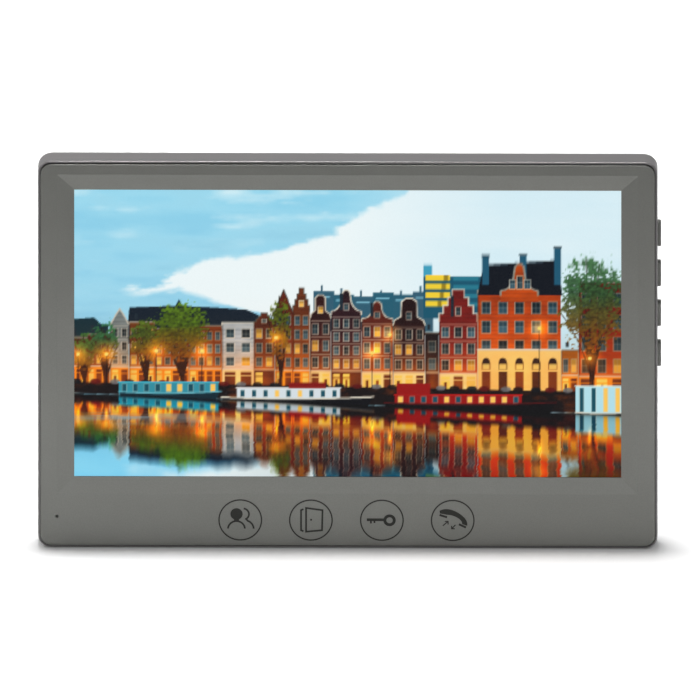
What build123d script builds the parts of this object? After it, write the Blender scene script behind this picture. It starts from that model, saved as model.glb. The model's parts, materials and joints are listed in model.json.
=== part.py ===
from build123d import *
from math import cos, radians, sin, tan
import os

os.makedirs("parts", exist_ok=True)

# A wall-mounted seven-inch video intercom monitor on its hook bracket.
# Millimetres, +Z up, the front looks along -Y and +X is the viewer's right.
# The origin is on the wall, in the middle of the bracket's screw pattern.
# A "depth" is a distance in front of the wall, so depth 21 is the plane y = -21.

# Case
CASE_WIDTH = 175.0
CASE_HEIGHT = 116.0
CASE_CORNER = 3.6
CASE_BACK = 1.6
LIP_FRONT = 20.7
SHOULDER = 14.6
SHOULDER_RADIUS = 7.0
TAPER_ANGLE = 50.0
CORNER_GROWTH = 0.9
WALL = 2.0
LIP = 0.5
SHELL_BACK = CASE_BACK + WALL
WALL_FACE = CASE_WIDTH / 2 - WALL

# Front cover
PANEL_FRONT = 21.0
PANEL_BACK = 19.0
SIDE_GAP = 0.2
TOP_GAP = 0.4
PANEL_WIDTH = CASE_WIDTH - 2 * (LIP + SIDE_GAP)
PANEL_TOP = CASE_HEIGHT / 2 - LIP - TOP_GAP
PANEL_BOTTOM = -CASE_HEIGHT / 2 + LIP + SIDE_GAP
PANEL_HEIGHT = PANEL_TOP - PANEL_BOTTOM
PANEL_MIDDLE = (PANEL_TOP + PANEL_BOTTOM) / 2
PANEL_CORNER = 3.1
WINDOW_WIDTH = 154.5
WINDOW_HEIGHT = 86.2
WINDOW_MIDDLE = 6.15
BEVEL_WIDTH = 4.8
BEVEL_DEPTH = 0.85
POCKET_FLOOR = 19.75

# Screen module
LCD_FRONT = 19.5
LCD_BACK = 13.9
LCD_LEFT = -83.0
LCD_RIGHT = 79.5
LCD_BOTTOM = -43.5
LCD_TOP = 53.7
LCD_SHEET = 0.4
GLASS_BACK = 18.2
GLASS_EDGE = 1.6
LCD_MIDDLE = ((LCD_LEFT + LCD_RIGHT) / 2, (LCD_BOTTOM + LCD_TOP) / 2)
LCD_WIDTH = LCD_RIGHT - LCD_LEFT
LCD_HEIGHT = LCD_TOP - LCD_BOTTOM

# Touch keys along the bottom edge
KEY_XS = (-30.35, -10.4, 9.65, 29.65)
KEY_ROW = -49.6
RING_RADIUS = 6.0
RING_LINE = 0.38
PRINT_HEIGHT = 0.06
TOUCH_BOARD = 16.4
TOUCH_BOARD_THICK = 1.0
TOUCH_ROW = -50.0
TOUCH_POSTS = [(-41.0, TOUCH_ROW), (41.0, TOUCH_ROW)]

# Microphone
MIC_PLACE = (-82.1, -48.6)
MIC_HOLE = 0.45

# Side buttons on the right wall
BUTTON_ZS = (35.0, 23.0, 11.0, -1.0)
BUTTON_DEPTH = 15.5
BUTTON_LENGTH = 7.6
BUTTON_WIDTH = 3.0
BUTTON_PROUD = 1.0
BUTTON_FIT = 0.15
BUTTON_TRAVEL = 0.5
FLANGE_FACE = WALL_FACE - 0.35
FLANGE_THICK = 0.9
KEY_BOARD_X = 80.0
KEY_BOARD_THICK = 1.0
SWITCH_SIZE = 4.5
SWITCH_HEIGHT = 1.8
PLUNGER_RADIUS = 0.9

# Chassis and main board
CHASSIS_BACK = 13.1
BOARD_BACK = 8.0
BOARD_FRONT = 9.6
BOARD_MIDDLE = (19.0, 4.0)
BOARD_SIZE = (98.0, 80.0)
BOARD_POSTS = [(-25.0, -31.0), (63.0, -31.0), (-25.0, 39.0), (63.0, 39.0)]
CHASSIS_TABS = [(-60.0, -47.0), (60.0, -47.0)]
CHASSIS_HOOK_XS = (-40.0, 40.0)
CASE_SCREWS = [(-72.0, -50.0), (72.0, -50.0)]
SCREW_SEAT = 8.5
SNAP_XS = (-60.0, -20.0, 20.0, 60.0)

# Cable sockets in the wiring recess
RECESS_MIDDLE = (0.0, 5.0)
RECESS_SIZE = (52.0, 24.0)
RECESS_FLOOR = 6.2
RECESS_WALL = 1.2
SOCKET_ROW = 12.4
SOCKET_XS = (-16.0, 0.0, 14.6)
SOCKET_PINS = (4, 4, 2)
PIN_PITCH = 2.5
SOCKET_SPARE = 4.9
SOCKET_HEIGHT = 5.75
SOCKET_RISE = 5.0

# Loudspeaker
SPEAKER_PLACE = (-57.5, -22.0)
SPEAKER_RADIUS = 16.0
GASKET_THICK = 0.8
SPEAKER_EAR = 18.5

# Wall bracket
SHEET = 1.2
BRACKET_SIZE = (84.0, 68.0)
BRACKET_SCREWS = (70.0, 56.0)
BRACKET_SLOTS = 60.0
BRACKET_SLOT_LENGTH = 8.4
BRACKET_HOLE = 2.2
CABLE_WINDOW = (44.0, 20.0)
CABLE_WINDOW_MIDDLE = (0.0, 4.0)
HOOK_X = 35.0
HOOK_ROWS = (12.0, -16.0)
HOOK_WIDTH = 8.0
HOOK_LIP = 5.0
HOOK_GAP = 0.15
HOOK_SLOT = 8.2
HOOK_REST = 0.1
PAD_PLACES = [(-66.0, -41.0), (66.0, -41.0), (-66.0, 41.0), (66.0, 41.0)]


def facing(depth):
    """The plane at one depth, seen from the front: x to the right, y up."""
    return Plane.XZ.offset(depth)


def save(piece, name):
    """Label a finished piece and write its STEP file."""
    piece.part.label = name
    export_step(piece.part, f"parts/{name}.step")


def outline(depth, inset, corner):
    """The case's rounded outline at one depth, made smaller by the inset."""
    with BuildSketch(facing(depth)) as ring:
        RectangleRounded(CASE_WIDTH - 2 * inset, CASE_HEIGHT - 2 * inset, corner)
    return ring.sketch


def case_form(inset, front):
    """Straight walls, a round shoulder and a taper; the inset makes the hollow inside."""
    reach = SHOULDER_RADIUS - inset
    corner = CASE_CORNER - inset
    turns = [radians(TAPER_ANGLE * step / 5) for step in range(6)]
    growth = [reach * (1 - cos(turn)) for turn in turns]
    shoulder_end = SHOULDER - reach * sin(turns[-1])
    back = CASE_BACK + inset
    last = growth[-1] + (shoulder_end - back) * tan(turns[-1])
    with BuildPart() as form:
        with BuildSketch(facing(SHOULDER)):
            RectangleRounded(CASE_WIDTH - 2 * inset, CASE_HEIGHT - 2 * inset, corner)
        extrude(amount=front - SHOULDER)
        loft(
            [
                outline(SHOULDER - reach * sin(turn), inset + grow, corner + CORNER_GROWTH * grow)
                for turn, grow in zip(turns, growth)
            ]
        )
        loft(
            [
                outline(shoulder_end, inset + growth[-1], corner + CORNER_GROWTH * growth[-1]),
                outline(back, inset + last, corner + CORNER_GROWTH * last),
            ]
        )
    return form.part


def screws(places, seat, head_radius, head_height, shank_radius, length, toward=1):
    """Cross-head screws; toward 1 drives the shanks to the front, and -1 drives them to the wall."""
    with BuildPart() as group:
        with BuildSketch(facing(seat)):
            with Locations(*places):
                Circle(head_radius)
        extrude(amount=-toward * head_height)
        rims = group.edges().filter_by(GeomType.CIRCLE).group_by(Axis.Y)
        fillet(rims[-1] if toward > 0 else rims[0], head_height * 0.45)
        with BuildSketch(facing(seat)):
            with Locations(*places):
                Circle(shank_radius)
        extrude(amount=toward * length)
        with BuildSketch(facing(seat - toward * head_height)):
            with Locations(*places):
                Rectangle(head_radius * 1.1, head_radius * 0.24)
                Rectangle(head_radius * 0.24, head_radius * 1.1)
        extrude(amount=toward * head_height * 0.5, mode=Mode.SUBTRACT)
    return group


def packages(places, seat, rise):
    """Flat electronic packages on a board; each place is x, z, width and height."""
    with BuildPart() as group:
        with BuildSketch(facing(seat)):
            for x, z, width, height in places:
                with Locations((x, z)):
                    Rectangle(width, height)
        extrude(amount=rise)
    return group


def wires(routes, radius):
    """Thin wires along smooth routes; each route is a list of points."""
    with BuildPart() as loom:
        for route in routes:
            with BuildLine() as path:
                Spline(*route)
            with BuildSketch(Plane(route[0], z_dir=path.line % 0)):
                Circle(radius)
            sweep(path=path.line)
    return loom


# ---------------------------------------------------------------- front cover

PANEL_ROUND = 0.2
BOSS_RADIUS = 3.2
PILOT_RADIUS = 1.15
TAB_BOSS_RADIUS = 2.6
TAB_PILOT_RADIUS = 0.9
TOUCH_POST_RADIUS = 2.0
TOUCH_PILOT_RADIUS = 0.8
PILOT_PAST_FACE = 0.8
COUNTERBORE_FLOOR = 1.6
TONGUE_WIDTH = 10.0
TONGUE_INNER = 54.2
TONGUE_OUTER = 55.4
BARB = 1.2
CHASSIS_GRIP = 2.4
MIC_RING = 3.3
MIC_BOOT = 2.6
MIC_RING_RISE = 3.0
RIB_OUTER = 0.3
RIB_INNER = 1.2
RIB_HEIGHT = 1.0
LCD_PLAY = 0.4

with BuildPart() as front_cover:
    with BuildSketch(facing(PANEL_BACK)):
        with Locations((0, PANEL_MIDDLE)):
            RectangleRounded(PANEL_WIDTH, PANEL_HEIGHT, PANEL_CORNER)
    extrude(amount=PANEL_FRONT - PANEL_BACK)
    fillet(front_cover.faces().sort_by(Axis.Y)[0].edges(), PANEL_ROUND)
    # window with a sloping frame around it
    with BuildSketch(facing(PANEL_BACK)):
        with Locations((0, WINDOW_MIDDLE)):
            Rectangle(WINDOW_WIDTH, WINDOW_HEIGHT)
    extrude(amount=PANEL_FRONT - PANEL_BACK, mode=Mode.SUBTRACT)
    with BuildSketch(facing(PANEL_FRONT - BEVEL_DEPTH)):
        with Locations((0, WINDOW_MIDDLE)):
            Rectangle(WINDOW_WIDTH, WINDOW_HEIGHT)
    with BuildSketch(facing(PANEL_FRONT)):
        with Locations((0, WINDOW_MIDDLE)):
            Rectangle(WINDOW_WIDTH + 2 * BEVEL_WIDTH, WINDOW_HEIGHT + 2 * BEVEL_WIDTH)
    loft(mode=Mode.SUBTRACT)
    # pocket that takes the screen module's front edge
    with BuildSketch(facing(PANEL_BACK)):
        with Locations(LCD_MIDDLE):
            Rectangle(LCD_WIDTH + LCD_PLAY, LCD_HEIGHT + LCD_PLAY)
    extrude(amount=POCKET_FLOOR - PANEL_BACK, mode=Mode.SUBTRACT)
    # locating rib inside the rear cover's walls
    with BuildSketch(facing(PANEL_BACK)):
        RectangleRounded(
            CASE_WIDTH - 2 * (WALL + RIB_OUTER), CASE_HEIGHT - 2 * (WALL + RIB_OUTER), 1.4
        )
        RectangleRounded(
            CASE_WIDTH - 2 * (WALL + RIB_INNER),
            CASE_HEIGHT - 2 * (WALL + RIB_INNER),
            0.6,
            mode=Mode.SUBTRACT,
        )
    extrude(amount=-RIB_HEIGHT)
    # screw bosses for the case, the chassis and the touch board
    with BuildSketch(facing(PANEL_BACK)):
        with Locations(*CASE_SCREWS):
            Circle(BOSS_RADIUS)
    extrude(amount=-(PANEL_BACK - SCREW_SEAT - COUNTERBORE_FLOOR))
    with BuildSketch(facing(PANEL_BACK)):
        with Locations(*CHASSIS_TABS):
            Circle(TAB_BOSS_RADIUS)
    extrude(amount=-(PANEL_BACK - LCD_BACK))
    with BuildSketch(facing(PANEL_BACK)):
        with Locations(*TOUCH_POSTS):
            Circle(TOUCH_POST_RADIUS)
    extrude(amount=-(PANEL_BACK - TOUCH_BOARD - TOUCH_BOARD_THICK))
    with BuildSketch(facing(PANEL_BACK + PILOT_PAST_FACE)):
        with Locations(*CASE_SCREWS):
            Circle(PILOT_RADIUS)
        with Locations(*CHASSIS_TABS):
            Circle(TAB_PILOT_RADIUS)
        with Locations(*TOUCH_POSTS):
            Circle(TOUCH_PILOT_RADIUS)
    extrude(amount=-PANEL_BACK, mode=Mode.SUBTRACT)
    # snap tongues along the top edge
    for x in SNAP_XS:
        with BuildSketch(Plane.YZ.offset(x - TONGUE_WIDTH / 2)):
            with BuildLine():
                Polyline(
                    (-PANEL_BACK, TONGUE_INNER),
                    (-13.2, TONGUE_INNER),
                    (-12.6, TONGUE_OUTER - 0.4),
                    (-14.2, TONGUE_OUTER + BARB),
                    (-15.2, TONGUE_OUTER + BARB),
                    (-15.8, TONGUE_OUTER),
                    (-PANEL_BACK, TONGUE_OUTER),
                    close=True,
                )
            make_face()
        extrude(amount=TONGUE_WIDTH)
    # hooks over the chassis plate's top edge
    for x in CHASSIS_HOOK_XS:
        with BuildSketch(Plane.YZ.offset(x - HOOK_WIDTH / 2)):
            with BuildLine():
                Polyline(
                    (-PANEL_BACK, TONGUE_INNER),
                    (-CHASSIS_BACK, TONGUE_INNER),
                    (-CHASSIS_BACK, TONGUE_INNER - CHASSIS_GRIP),
                    (-CHASSIS_BACK + 1.2, TONGUE_INNER - CHASSIS_GRIP),
                    (-CHASSIS_BACK + 1.2, TONGUE_OUTER - 0.6),
                    (-CHASSIS_BACK, TONGUE_OUTER),
                    (-PANEL_BACK, TONGUE_OUTER),
                    close=True,
                )
            make_face()
        extrude(amount=HOOK_WIDTH)
    # microphone holder and pinhole
    with BuildSketch(facing(PANEL_BACK)):
        with Locations(MIC_PLACE):
            Circle(MIC_RING)
            Circle(MIC_BOOT, mode=Mode.SUBTRACT)
    extrude(amount=-MIC_RING_RISE)
    with BuildSketch(facing(PANEL_BACK)):
        with Locations(MIC_PLACE):
            Circle(MIC_BOOT)
    extrude(amount=-MIC_RING_RISE, mode=Mode.SUBTRACT)
    with BuildSketch(facing(PANEL_BACK)):
        with Locations(MIC_PLACE):
            Circle(MIC_HOLE)
    extrude(amount=PANEL_FRONT - PANEL_BACK, mode=Mode.SUBTRACT)
save(front_cover, "front_cover")

# ----------------------------------------------------------------- rear cover

LIP_ROUND = 0.45
BACK_ROUND = 1.0
GRILLE_RADIUS = 13.0
GRILLE_PITCH = 2.6
GRILLE_SLOT = 1.3
VENT_SLOT = (1.5, 11.0)
VENT_PITCH = 3.2
VENT_COUNT = 7
VENT_MIDDLE = (60.0, 22.0)
PAD_RADIUS = 4.0
PAD_SUNK = 0.6
POCKET_WALL = 1.0
POCKET_DEPTH = 5.6
SCREW_POST = 4.4
COUNTERBORE = 3.1
KEY_GUIDE_ZS = (-13.6, 47.0)
KEY_GUIDE_THICK = 2.2
SOCKET_PLAY = 0.4
HOOK_PLAY = 1.0
SPEAKER_RING = 1.4
SPEAKER_POST = 2.2
SPEAKER_PILOT = 0.8
SPEAKER_FLANGE = 0.8
CASE_SCREW_HOLE = 1.6
CATCH_FROM = 13.2
CATCH_LENGTH = 2.5

with BuildPart() as outer_form:
    add(case_form(0, LIP_FRONT))
    fillet(outer_form.faces().sort_by(Axis.Y)[-1].edges(), BACK_ROUND)
    fillet(outer_form.faces().sort_by(Axis.Y)[0].edges(), LIP_ROUND)

with BuildPart() as rear_cover:
    add(outer_form.part)
    add(case_form(WALL, PANEL_BACK), mode=Mode.SUBTRACT)
    with BuildSketch(facing(PANEL_BACK)):
        RectangleRounded(CASE_WIDTH - 2 * LIP, CASE_HEIGHT - 2 * LIP, CASE_CORNER - LIP)
    extrude(amount=LIP_FRONT - PANEL_BACK, mode=Mode.SUBTRACT)
    # screw posts reaching up from the taper
    with BuildSketch(facing(SCREW_SEAT + COUNTERBORE_FLOOR)):
        with Locations(*CASE_SCREWS):
            Circle(SCREW_POST)
    extrude(amount=-(SCREW_SEAT + COUNTERBORE_FLOOR - SHELL_BACK))
    # wiring recess around the cable sockets
    with BuildSketch(facing(CASE_BACK)):
        with Locations(RECESS_MIDDLE):
            RectangleRounded(RECESS_SIZE[0] + 2 * RECESS_WALL, RECESS_SIZE[1] + 2 * RECESS_WALL, 2.2)
    extrude(amount=RECESS_FLOOR + RECESS_WALL - CASE_BACK)
    with BuildSketch(facing(CASE_BACK)):
        with Locations(RECESS_MIDDLE):
            RectangleRounded(*RECESS_SIZE, 1.5)
    extrude(amount=RECESS_FLOOR - CASE_BACK, mode=Mode.SUBTRACT)
    with BuildSketch(facing(RECESS_FLOOR)):
        for x, pins in zip(SOCKET_XS, SOCKET_PINS):
            with Locations((x, SOCKET_ROW)):
                Rectangle(
                    (pins - 1) * PIN_PITCH + SOCKET_SPARE + SOCKET_PLAY, SOCKET_HEIGHT + SOCKET_PLAY
                )
    extrude(amount=RECESS_WALL, mode=Mode.SUBTRACT)
    # pockets behind the four hook slots, then the slots themselves
    hook_places = [(side * HOOK_X, row) for side in (-1, 1) for row in HOOK_ROWS]
    pocket_width = HOOK_WIDTH + 2 * HOOK_PLAY
    pocket_height = HOOK_SLOT + HOOK_LIP + HOOK_PLAY
    with BuildSketch(facing(SHELL_BACK - WALL / 2)):
        for x, row in hook_places:
            with Locations((x, row - HOOK_SLOT + pocket_height / 2)):
                Rectangle(pocket_width + 2 * POCKET_WALL, pocket_height + 2 * POCKET_WALL)
    extrude(amount=POCKET_DEPTH + POCKET_WALL - SHELL_BACK + WALL / 2)
    with BuildSketch(facing(SHELL_BACK)):
        for x, row in hook_places:
            with Locations((x, row - HOOK_SLOT + pocket_height / 2)):
                Rectangle(pocket_width, pocket_height)
    extrude(amount=POCKET_DEPTH - SHELL_BACK, mode=Mode.SUBTRACT)
    with BuildSketch(facing(CASE_BACK)):
        for x, row in hook_places:
            with Locations((x, row + HOOK_REST - HOOK_SLOT / 2)):
                Rectangle(HOOK_WIDTH + HOOK_PLAY, HOOK_SLOT)
    extrude(amount=WALL, mode=Mode.SUBTRACT)
    # loudspeaker ring and screw posts, then the grille
    with BuildSketch(facing(SHELL_BACK)):
        with Locations(SPEAKER_PLACE):
            Circle(SPEAKER_RADIUS + SPEAKER_RING)
            Circle(SPEAKER_RADIUS + SIDE_GAP, mode=Mode.SUBTRACT)
    extrude(amount=GASKET_THICK + SPEAKER_FLANGE)
    with BuildSketch(facing(SHELL_BACK)):
        with Locations(SPEAKER_PLACE):
            with PolarLocations(SPEAKER_EAR, 3, start_angle=90):
                Circle(SPEAKER_POST)
    extrude(amount=GASKET_THICK + SPEAKER_FLANGE)
    with BuildSketch(facing(SHELL_BACK + 0.2)):
        with Locations(SPEAKER_PLACE):
            with PolarLocations(SPEAKER_EAR, 3, start_angle=90):
                Circle(SPEAKER_PILOT)
    extrude(amount=SHELL_BACK, mode=Mode.SUBTRACT)
    rows = int(GRILLE_RADIUS / GRILLE_PITCH)
    with BuildSketch(facing(CASE_BACK)):
        for row in range(-rows + 1, rows):
            rise = row * GRILLE_PITCH
            chord = 2 * (GRILLE_RADIUS**2 - rise**2) ** 0.5
            with Locations((SPEAKER_PLACE[0], SPEAKER_PLACE[1] + rise)):
                SlotOverall(chord, GRILLE_SLOT)
    extrude(amount=WALL, mode=Mode.SUBTRACT)
    # vent slots either side of the bracket
    with BuildSketch(facing(CASE_BACK)):
        for side in (-1, 1):
            with Locations((side * VENT_MIDDLE[0], VENT_MIDDLE[1])):
                with GridLocations(VENT_PITCH, 0, VENT_COUNT, 1):
                    SlotOverall(VENT_SLOT[1], VENT_SLOT[0], rotation=90)
    extrude(amount=WALL, mode=Mode.SUBTRACT)
    # seats for the rubber pads
    with BuildSketch(facing(CASE_BACK)):
        with Locations(*PAD_PLACES):
            Circle(PAD_RADIUS + 0.1)
    extrude(amount=PAD_SUNK, mode=Mode.SUBTRACT)
    # case screw holes with counterbores
    with BuildSketch(facing(SCREW_SEAT)):
        with Locations(*CASE_SCREWS):
            Circle(COUNTERBORE)
    extrude(amount=-SCREW_SEAT, mode=Mode.SUBTRACT)
    with BuildSketch(facing(SCREW_SEAT)):
        with Locations(*CASE_SCREWS):
            Circle(CASE_SCREW_HOLE)
    extrude(amount=COUNTERBORE_FLOOR, mode=Mode.SUBTRACT)
    # recesses that catch the front cover's snap tongues
    with BuildSketch(facing(CATCH_FROM)):
        with Locations(*[(x, CASE_HEIGHT / 2 - WALL) for x in SNAP_XS]):
            Rectangle(TONGUE_WIDTH + 0.6, 1.7)
    extrude(amount=CATCH_LENGTH, mode=Mode.SUBTRACT)
    # button slots through the right wall
    with BuildSketch(Plane.YZ.offset(WALL_FACE - 1.0)):
        with Locations(*[(-BUTTON_DEPTH, z) for z in BUTTON_ZS]):
            RectangleRounded(BUTTON_WIDTH + 2 * BUTTON_FIT, BUTTON_LENGTH + 2 * BUTTON_FIT, 1.1)
    extrude(amount=WALL + 2.0, mode=Mode.SUBTRACT)
    # guides that hold the side key board's two ends
    for z in KEY_GUIDE_ZS:
        with BuildSketch(Plane.XY.offset(z)):
            with BuildLine():
                Polyline(
                    (KEY_BOARD_X + KEY_BOARD_THICK + 0.05, -17.5),
                    (WALL_FACE + 0.5, -17.5),
                    (WALL_FACE + 0.5, -9.0),
                    (79.0, -5.2),
                    (79.0, -12.6),
                    (KEY_BOARD_X - 0.05, -12.6),
                    (KEY_BOARD_X - 0.05, -9.8),
                    (KEY_BOARD_X + KEY_BOARD_THICK + 0.05, -9.8),
                    close=True,
                )
            make_face()
        extrude(amount=KEY_GUIDE_THICK)
    # nothing inside may stand out of the outer form
    add(outer_form.part, mode=Mode.INTERSECT)
save(rear_cover, "rear_cover")

# ------------------------------------------------------------ touch key marks

SYMBOL_LINE = 0.5


def key_face(x):
    """The front face around one touch key, with the key's middle as its origin."""
    return Plane((x, -PANEL_FRONT, KEY_ROW), x_dir=(1, 0, 0), z_dir=(0, -1, 0))


def key_ring():
    """The thin printed circle around a key's symbol."""
    Circle(RING_RADIUS + RING_LINE / 2)
    Circle(RING_RADIUS - RING_LINE / 2, mode=Mode.SUBTRACT)


with BuildPart() as mark_people:
    with BuildSketch(key_face(KEY_XS[0])):
        key_ring()
        with Locations((-1.06, 1.79)):
            Circle(1.73)
        with Locations((-1.06, 0.0)):
            Rectangle(1.4, 1.2)
        with BuildLine():
            ThreePointArc((-3.47, -2.59), (-1.06, -0.35), (1.31, -2.59))
        trace(line_width=SYMBOL_LINE)
        with BuildLine():
            ThreePointArc((0.98, 3.44), (2.45, 1.89), (1.64, 0.3))
            Line((1.64, 0.3), (2.1, -0.25))
            ThreePointArc((2.1, -0.25), (3.2, -1.05), (3.8, -2.59))
        trace(line_width=SYMBOL_LINE)
    extrude(amount=PRINT_HEIGHT)
save(mark_people, "mark_people")

with BuildPart() as mark_door:
    with BuildSketch(key_face(KEY_XS[1])):
        key_ring()
        with BuildLine():
            Polyline((-1.36, 3.64), (3.28, 2.99), (3.14, -3.04), (-1.36, -3.49), close=True)
        trace(line_width=SYMBOL_LINE)
        with BuildLine():
            Polyline((-2.1, 3.29), (-2.78, 2.99), (-2.78, -3.04), (-2.1, -3.34))
        trace(line_width=SYMBOL_LINE)
        with Locations((0.05, 0.1)):
            Circle(0.28)
    extrude(amount=PRINT_HEIGHT)
save(mark_door, "mark_door")

with BuildPart() as mark_key:
    with BuildSketch(key_face(KEY_XS[2])):
        key_ring()
        with Locations((2.16, 0)):
            Circle(1.75)
        with Locations((-1.8, 0.15)):
            Rectangle(4.9, 0.8)
        for x, drop in ((-3.1, 1.1), (-2.1, 0.95)):
            with Locations((x, 0.15 - drop / 2)):
                Rectangle(0.5, drop)
        with Locations((2.16, 0)):
            Circle(0.9, mode=Mode.SUBTRACT)
    extrude(amount=PRINT_HEIGHT)
save(mark_key, "mark_key")

with BuildPart() as mark_talk:
    with BuildSketch(key_face(KEY_XS[3])):
        key_ring()
        with BuildLine():
            Spline((-3.7, 2.9), (-1.8, 3.4), (0.6, 2.8), (2.6, 1.5), (3.9, -0.1), (4.1, -1.6))
            Line((4.1, -1.6), (2.7, -1.1))
            Spline((2.7, -1.1), (2.3, 0.0), (1.1, 0.95), (-0.4, 1.55), (-1.6, 1.7))
            Line((-1.6, 1.7), (-3.6, 2.1))
            Line((-3.6, 2.1), (-3.7, 2.9))
        make_face()
        for start, end in (((-3.7, 1.65), (-1.6, 0.95)), ((1.75, -1.15), (3.75, -2.1))):
            with BuildLine():
                Line(start, end)
            trace(line_width=0.6)
        for tail, tip in (((-2.8, -1.6), (-1.3, -0.3)), ((0.8, -1.3), (-0.3, -2.5))):
            lean = 1 if tip[0] > tail[0] else -1
            with BuildLine():
                Line(tail, tip)
            trace(line_width=0.3)
            with BuildLine():
                Polyline((tip[0] - 0.9 * lean, tip[1]), tip, (tip[0], tip[1] - 0.9 * lean))
            trace(line_width=0.3)
    extrude(amount=PRINT_HEIGHT)
save(mark_talk, "mark_talk")

# --------------------------------------------------------------- screen module

with BuildPart() as lcd_glass:
    with BuildSketch(facing(GLASS_BACK)):
        with Locations(LCD_MIDDLE):
            Rectangle(LCD_WIDTH - 2 * GLASS_EDGE, LCD_HEIGHT - 2 * GLASS_EDGE)
    extrude(amount=LCD_FRONT - GLASS_BACK)
save(lcd_glass, "lcd_glass")

with BuildPart() as lcd_frame:
    with BuildSketch(facing(LCD_BACK + LCD_SHEET)):
        with Locations(LCD_MIDDLE):
            RectangleRounded(LCD_WIDTH, LCD_HEIGHT, 0.8)
            Rectangle(LCD_WIDTH - 2 * LCD_SHEET, LCD_HEIGHT - 2 * LCD_SHEET, mode=Mode.SUBTRACT)
    extrude(amount=LCD_FRONT - LCD_BACK - LCD_SHEET)
    with BuildSketch(facing(LCD_FRONT - LCD_SHEET)):
        with Locations(LCD_MIDDLE):
            Rectangle(LCD_WIDTH - LCD_SHEET, LCD_HEIGHT - LCD_SHEET)
            Rectangle(
                LCD_WIDTH - 2 * GLASS_EDGE, LCD_HEIGHT - 2 * GLASS_EDGE, mode=Mode.SUBTRACT
            )
    extrude(amount=LCD_SHEET)
save(lcd_frame, "lcd_frame")

with BuildPart() as lcd_backlight:
    with BuildSketch(facing(LCD_BACK + LCD_SHEET)):
        with Locations(LCD_MIDDLE):
            Rectangle(LCD_WIDTH - 2 * LCD_SHEET, LCD_HEIGHT - 2 * LCD_SHEET)
    extrude(amount=LCD_FRONT - LCD_BACK - 2 * LCD_SHEET)
    with BuildSketch(facing(GLASS_BACK)):
        with Locations(LCD_MIDDLE):
            Rectangle(LCD_WIDTH - 2 * GLASS_EDGE, LCD_HEIGHT - 2 * GLASS_EDGE)
    extrude(amount=LCD_FRONT - GLASS_BACK, mode=Mode.SUBTRACT)
save(lcd_backlight, "lcd_backlight")

FLEX_X = 12.0
FLEX_WIDTH = 24.0
FLEX_THICK = 0.2
FLEX_OPENING = (30.0, 20.0)
FLEX_OPENING_MIDDLE = (24.0, -32.0)
FLEX_EXIT_ROW = -38.6

with BuildPart() as lcd_back_plate:
    with BuildSketch(facing(LCD_BACK)):
        with Locations(LCD_MIDDLE):
            RectangleRounded(LCD_WIDTH, LCD_HEIGHT, 0.8)
        with Locations((FLEX_OPENING_MIDDLE[0], FLEX_EXIT_ROW)):
            Rectangle(FLEX_WIDTH + 2, 2.4, mode=Mode.SUBTRACT)
    extrude(amount=LCD_SHEET)
save(lcd_back_plate, "lcd_back_plate")

with BuildPart() as lcd_seal:
    with BuildSketch(facing(LCD_FRONT)):
        with Locations(LCD_MIDDLE):
            Rectangle(LCD_WIDTH - 1, LCD_HEIGHT - 1)
        with Locations((0, WINDOW_MIDDLE)):
            Rectangle(WINDOW_WIDTH + 1.4, WINDOW_HEIGHT + 1.4, mode=Mode.SUBTRACT)
    extrude(amount=POCKET_FLOOR - LCD_FRONT)
save(lcd_seal, "lcd_seal")

with BuildPart() as lcd_flex:
    with BuildSketch(Plane.YZ.offset(FLEX_X)):
        with BuildLine():
            Spline((-14.2, -38.9), (-13.4, -37.4), (-11.4, -34.0), (-10.5, -30.6))
        trace(line_width=FLEX_THICK)
    extrude(amount=FLEX_WIDTH)
save(lcd_flex, "lcd_flex")

# ---------------------------------------------------- chassis and main board

with BuildPart() as chassis_plate:
    with BuildSketch(facing(CHASSIS_BACK)):
        with Locations((-1.0, 5.45)):
            RectangleRounded(155.0, 95.9, 3.0)
        for x, z in CHASSIS_TABS:
            with Locations((x, z)):
                Circle(3.4)
            with Locations((x, z + 3.0)):
                Rectangle(6.8, 6.0)
        with Locations(FLEX_OPENING_MIDDLE):
            RectangleRounded(*FLEX_OPENING, 2.0, mode=Mode.SUBTRACT)
        with Locations((-56.0, 26.0), (-8.0, 8.0), (38.0, 8.0)):
            RectangleRounded(32.0, 30.0, 4.0, mode=Mode.SUBTRACT)
        with Locations(*CHASSIS_TABS):
            Circle(1.1, mode=Mode.SUBTRACT)
        with Locations(*BOARD_POSTS):
            Circle(1.6, mode=Mode.SUBTRACT)
    extrude(amount=LCD_BACK - CHASSIS_BACK)
save(chassis_plate, "chassis_plate")

with BuildPart() as board_standoffs:
    with BuildSketch(facing(BOARD_FRONT)):
        with Locations(*BOARD_POSTS):
            RegularPolygon(2.9, 6)
    extrude(amount=CHASSIS_BACK - BOARD_FRONT)
    with BuildSketch(facing(CHASSIS_BACK)):
        with Locations(*BOARD_POSTS):
            Circle(1.6)
    extrude(amount=LCD_BACK - CHASSIS_BACK)
    with BuildSketch(facing(BOARD_FRONT)):
        with Locations(*BOARD_POSTS):
            Circle(1.25)
    extrude(amount=3.6, mode=Mode.SUBTRACT)
save(board_standoffs, "board_standoffs")

with BuildPart() as main_board:
    with BuildSketch(facing(BOARD_BACK)):
        with Locations(BOARD_MIDDLE):
            RectangleRounded(*BOARD_SIZE, 2.0)
        with Locations(*BOARD_POSTS):
            Circle(1.6, mode=Mode.SUBTRACT)
        for x, pins in zip(SOCKET_XS, SOCKET_PINS):
            with Locations((x, SOCKET_ROW)):
                with GridLocations(PIN_PITCH, 0, pins, 1):
                    Circle(0.5, mode=Mode.SUBTRACT)
    extrude(amount=BOARD_FRONT - BOARD_BACK)
save(main_board, "main_board")

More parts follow.
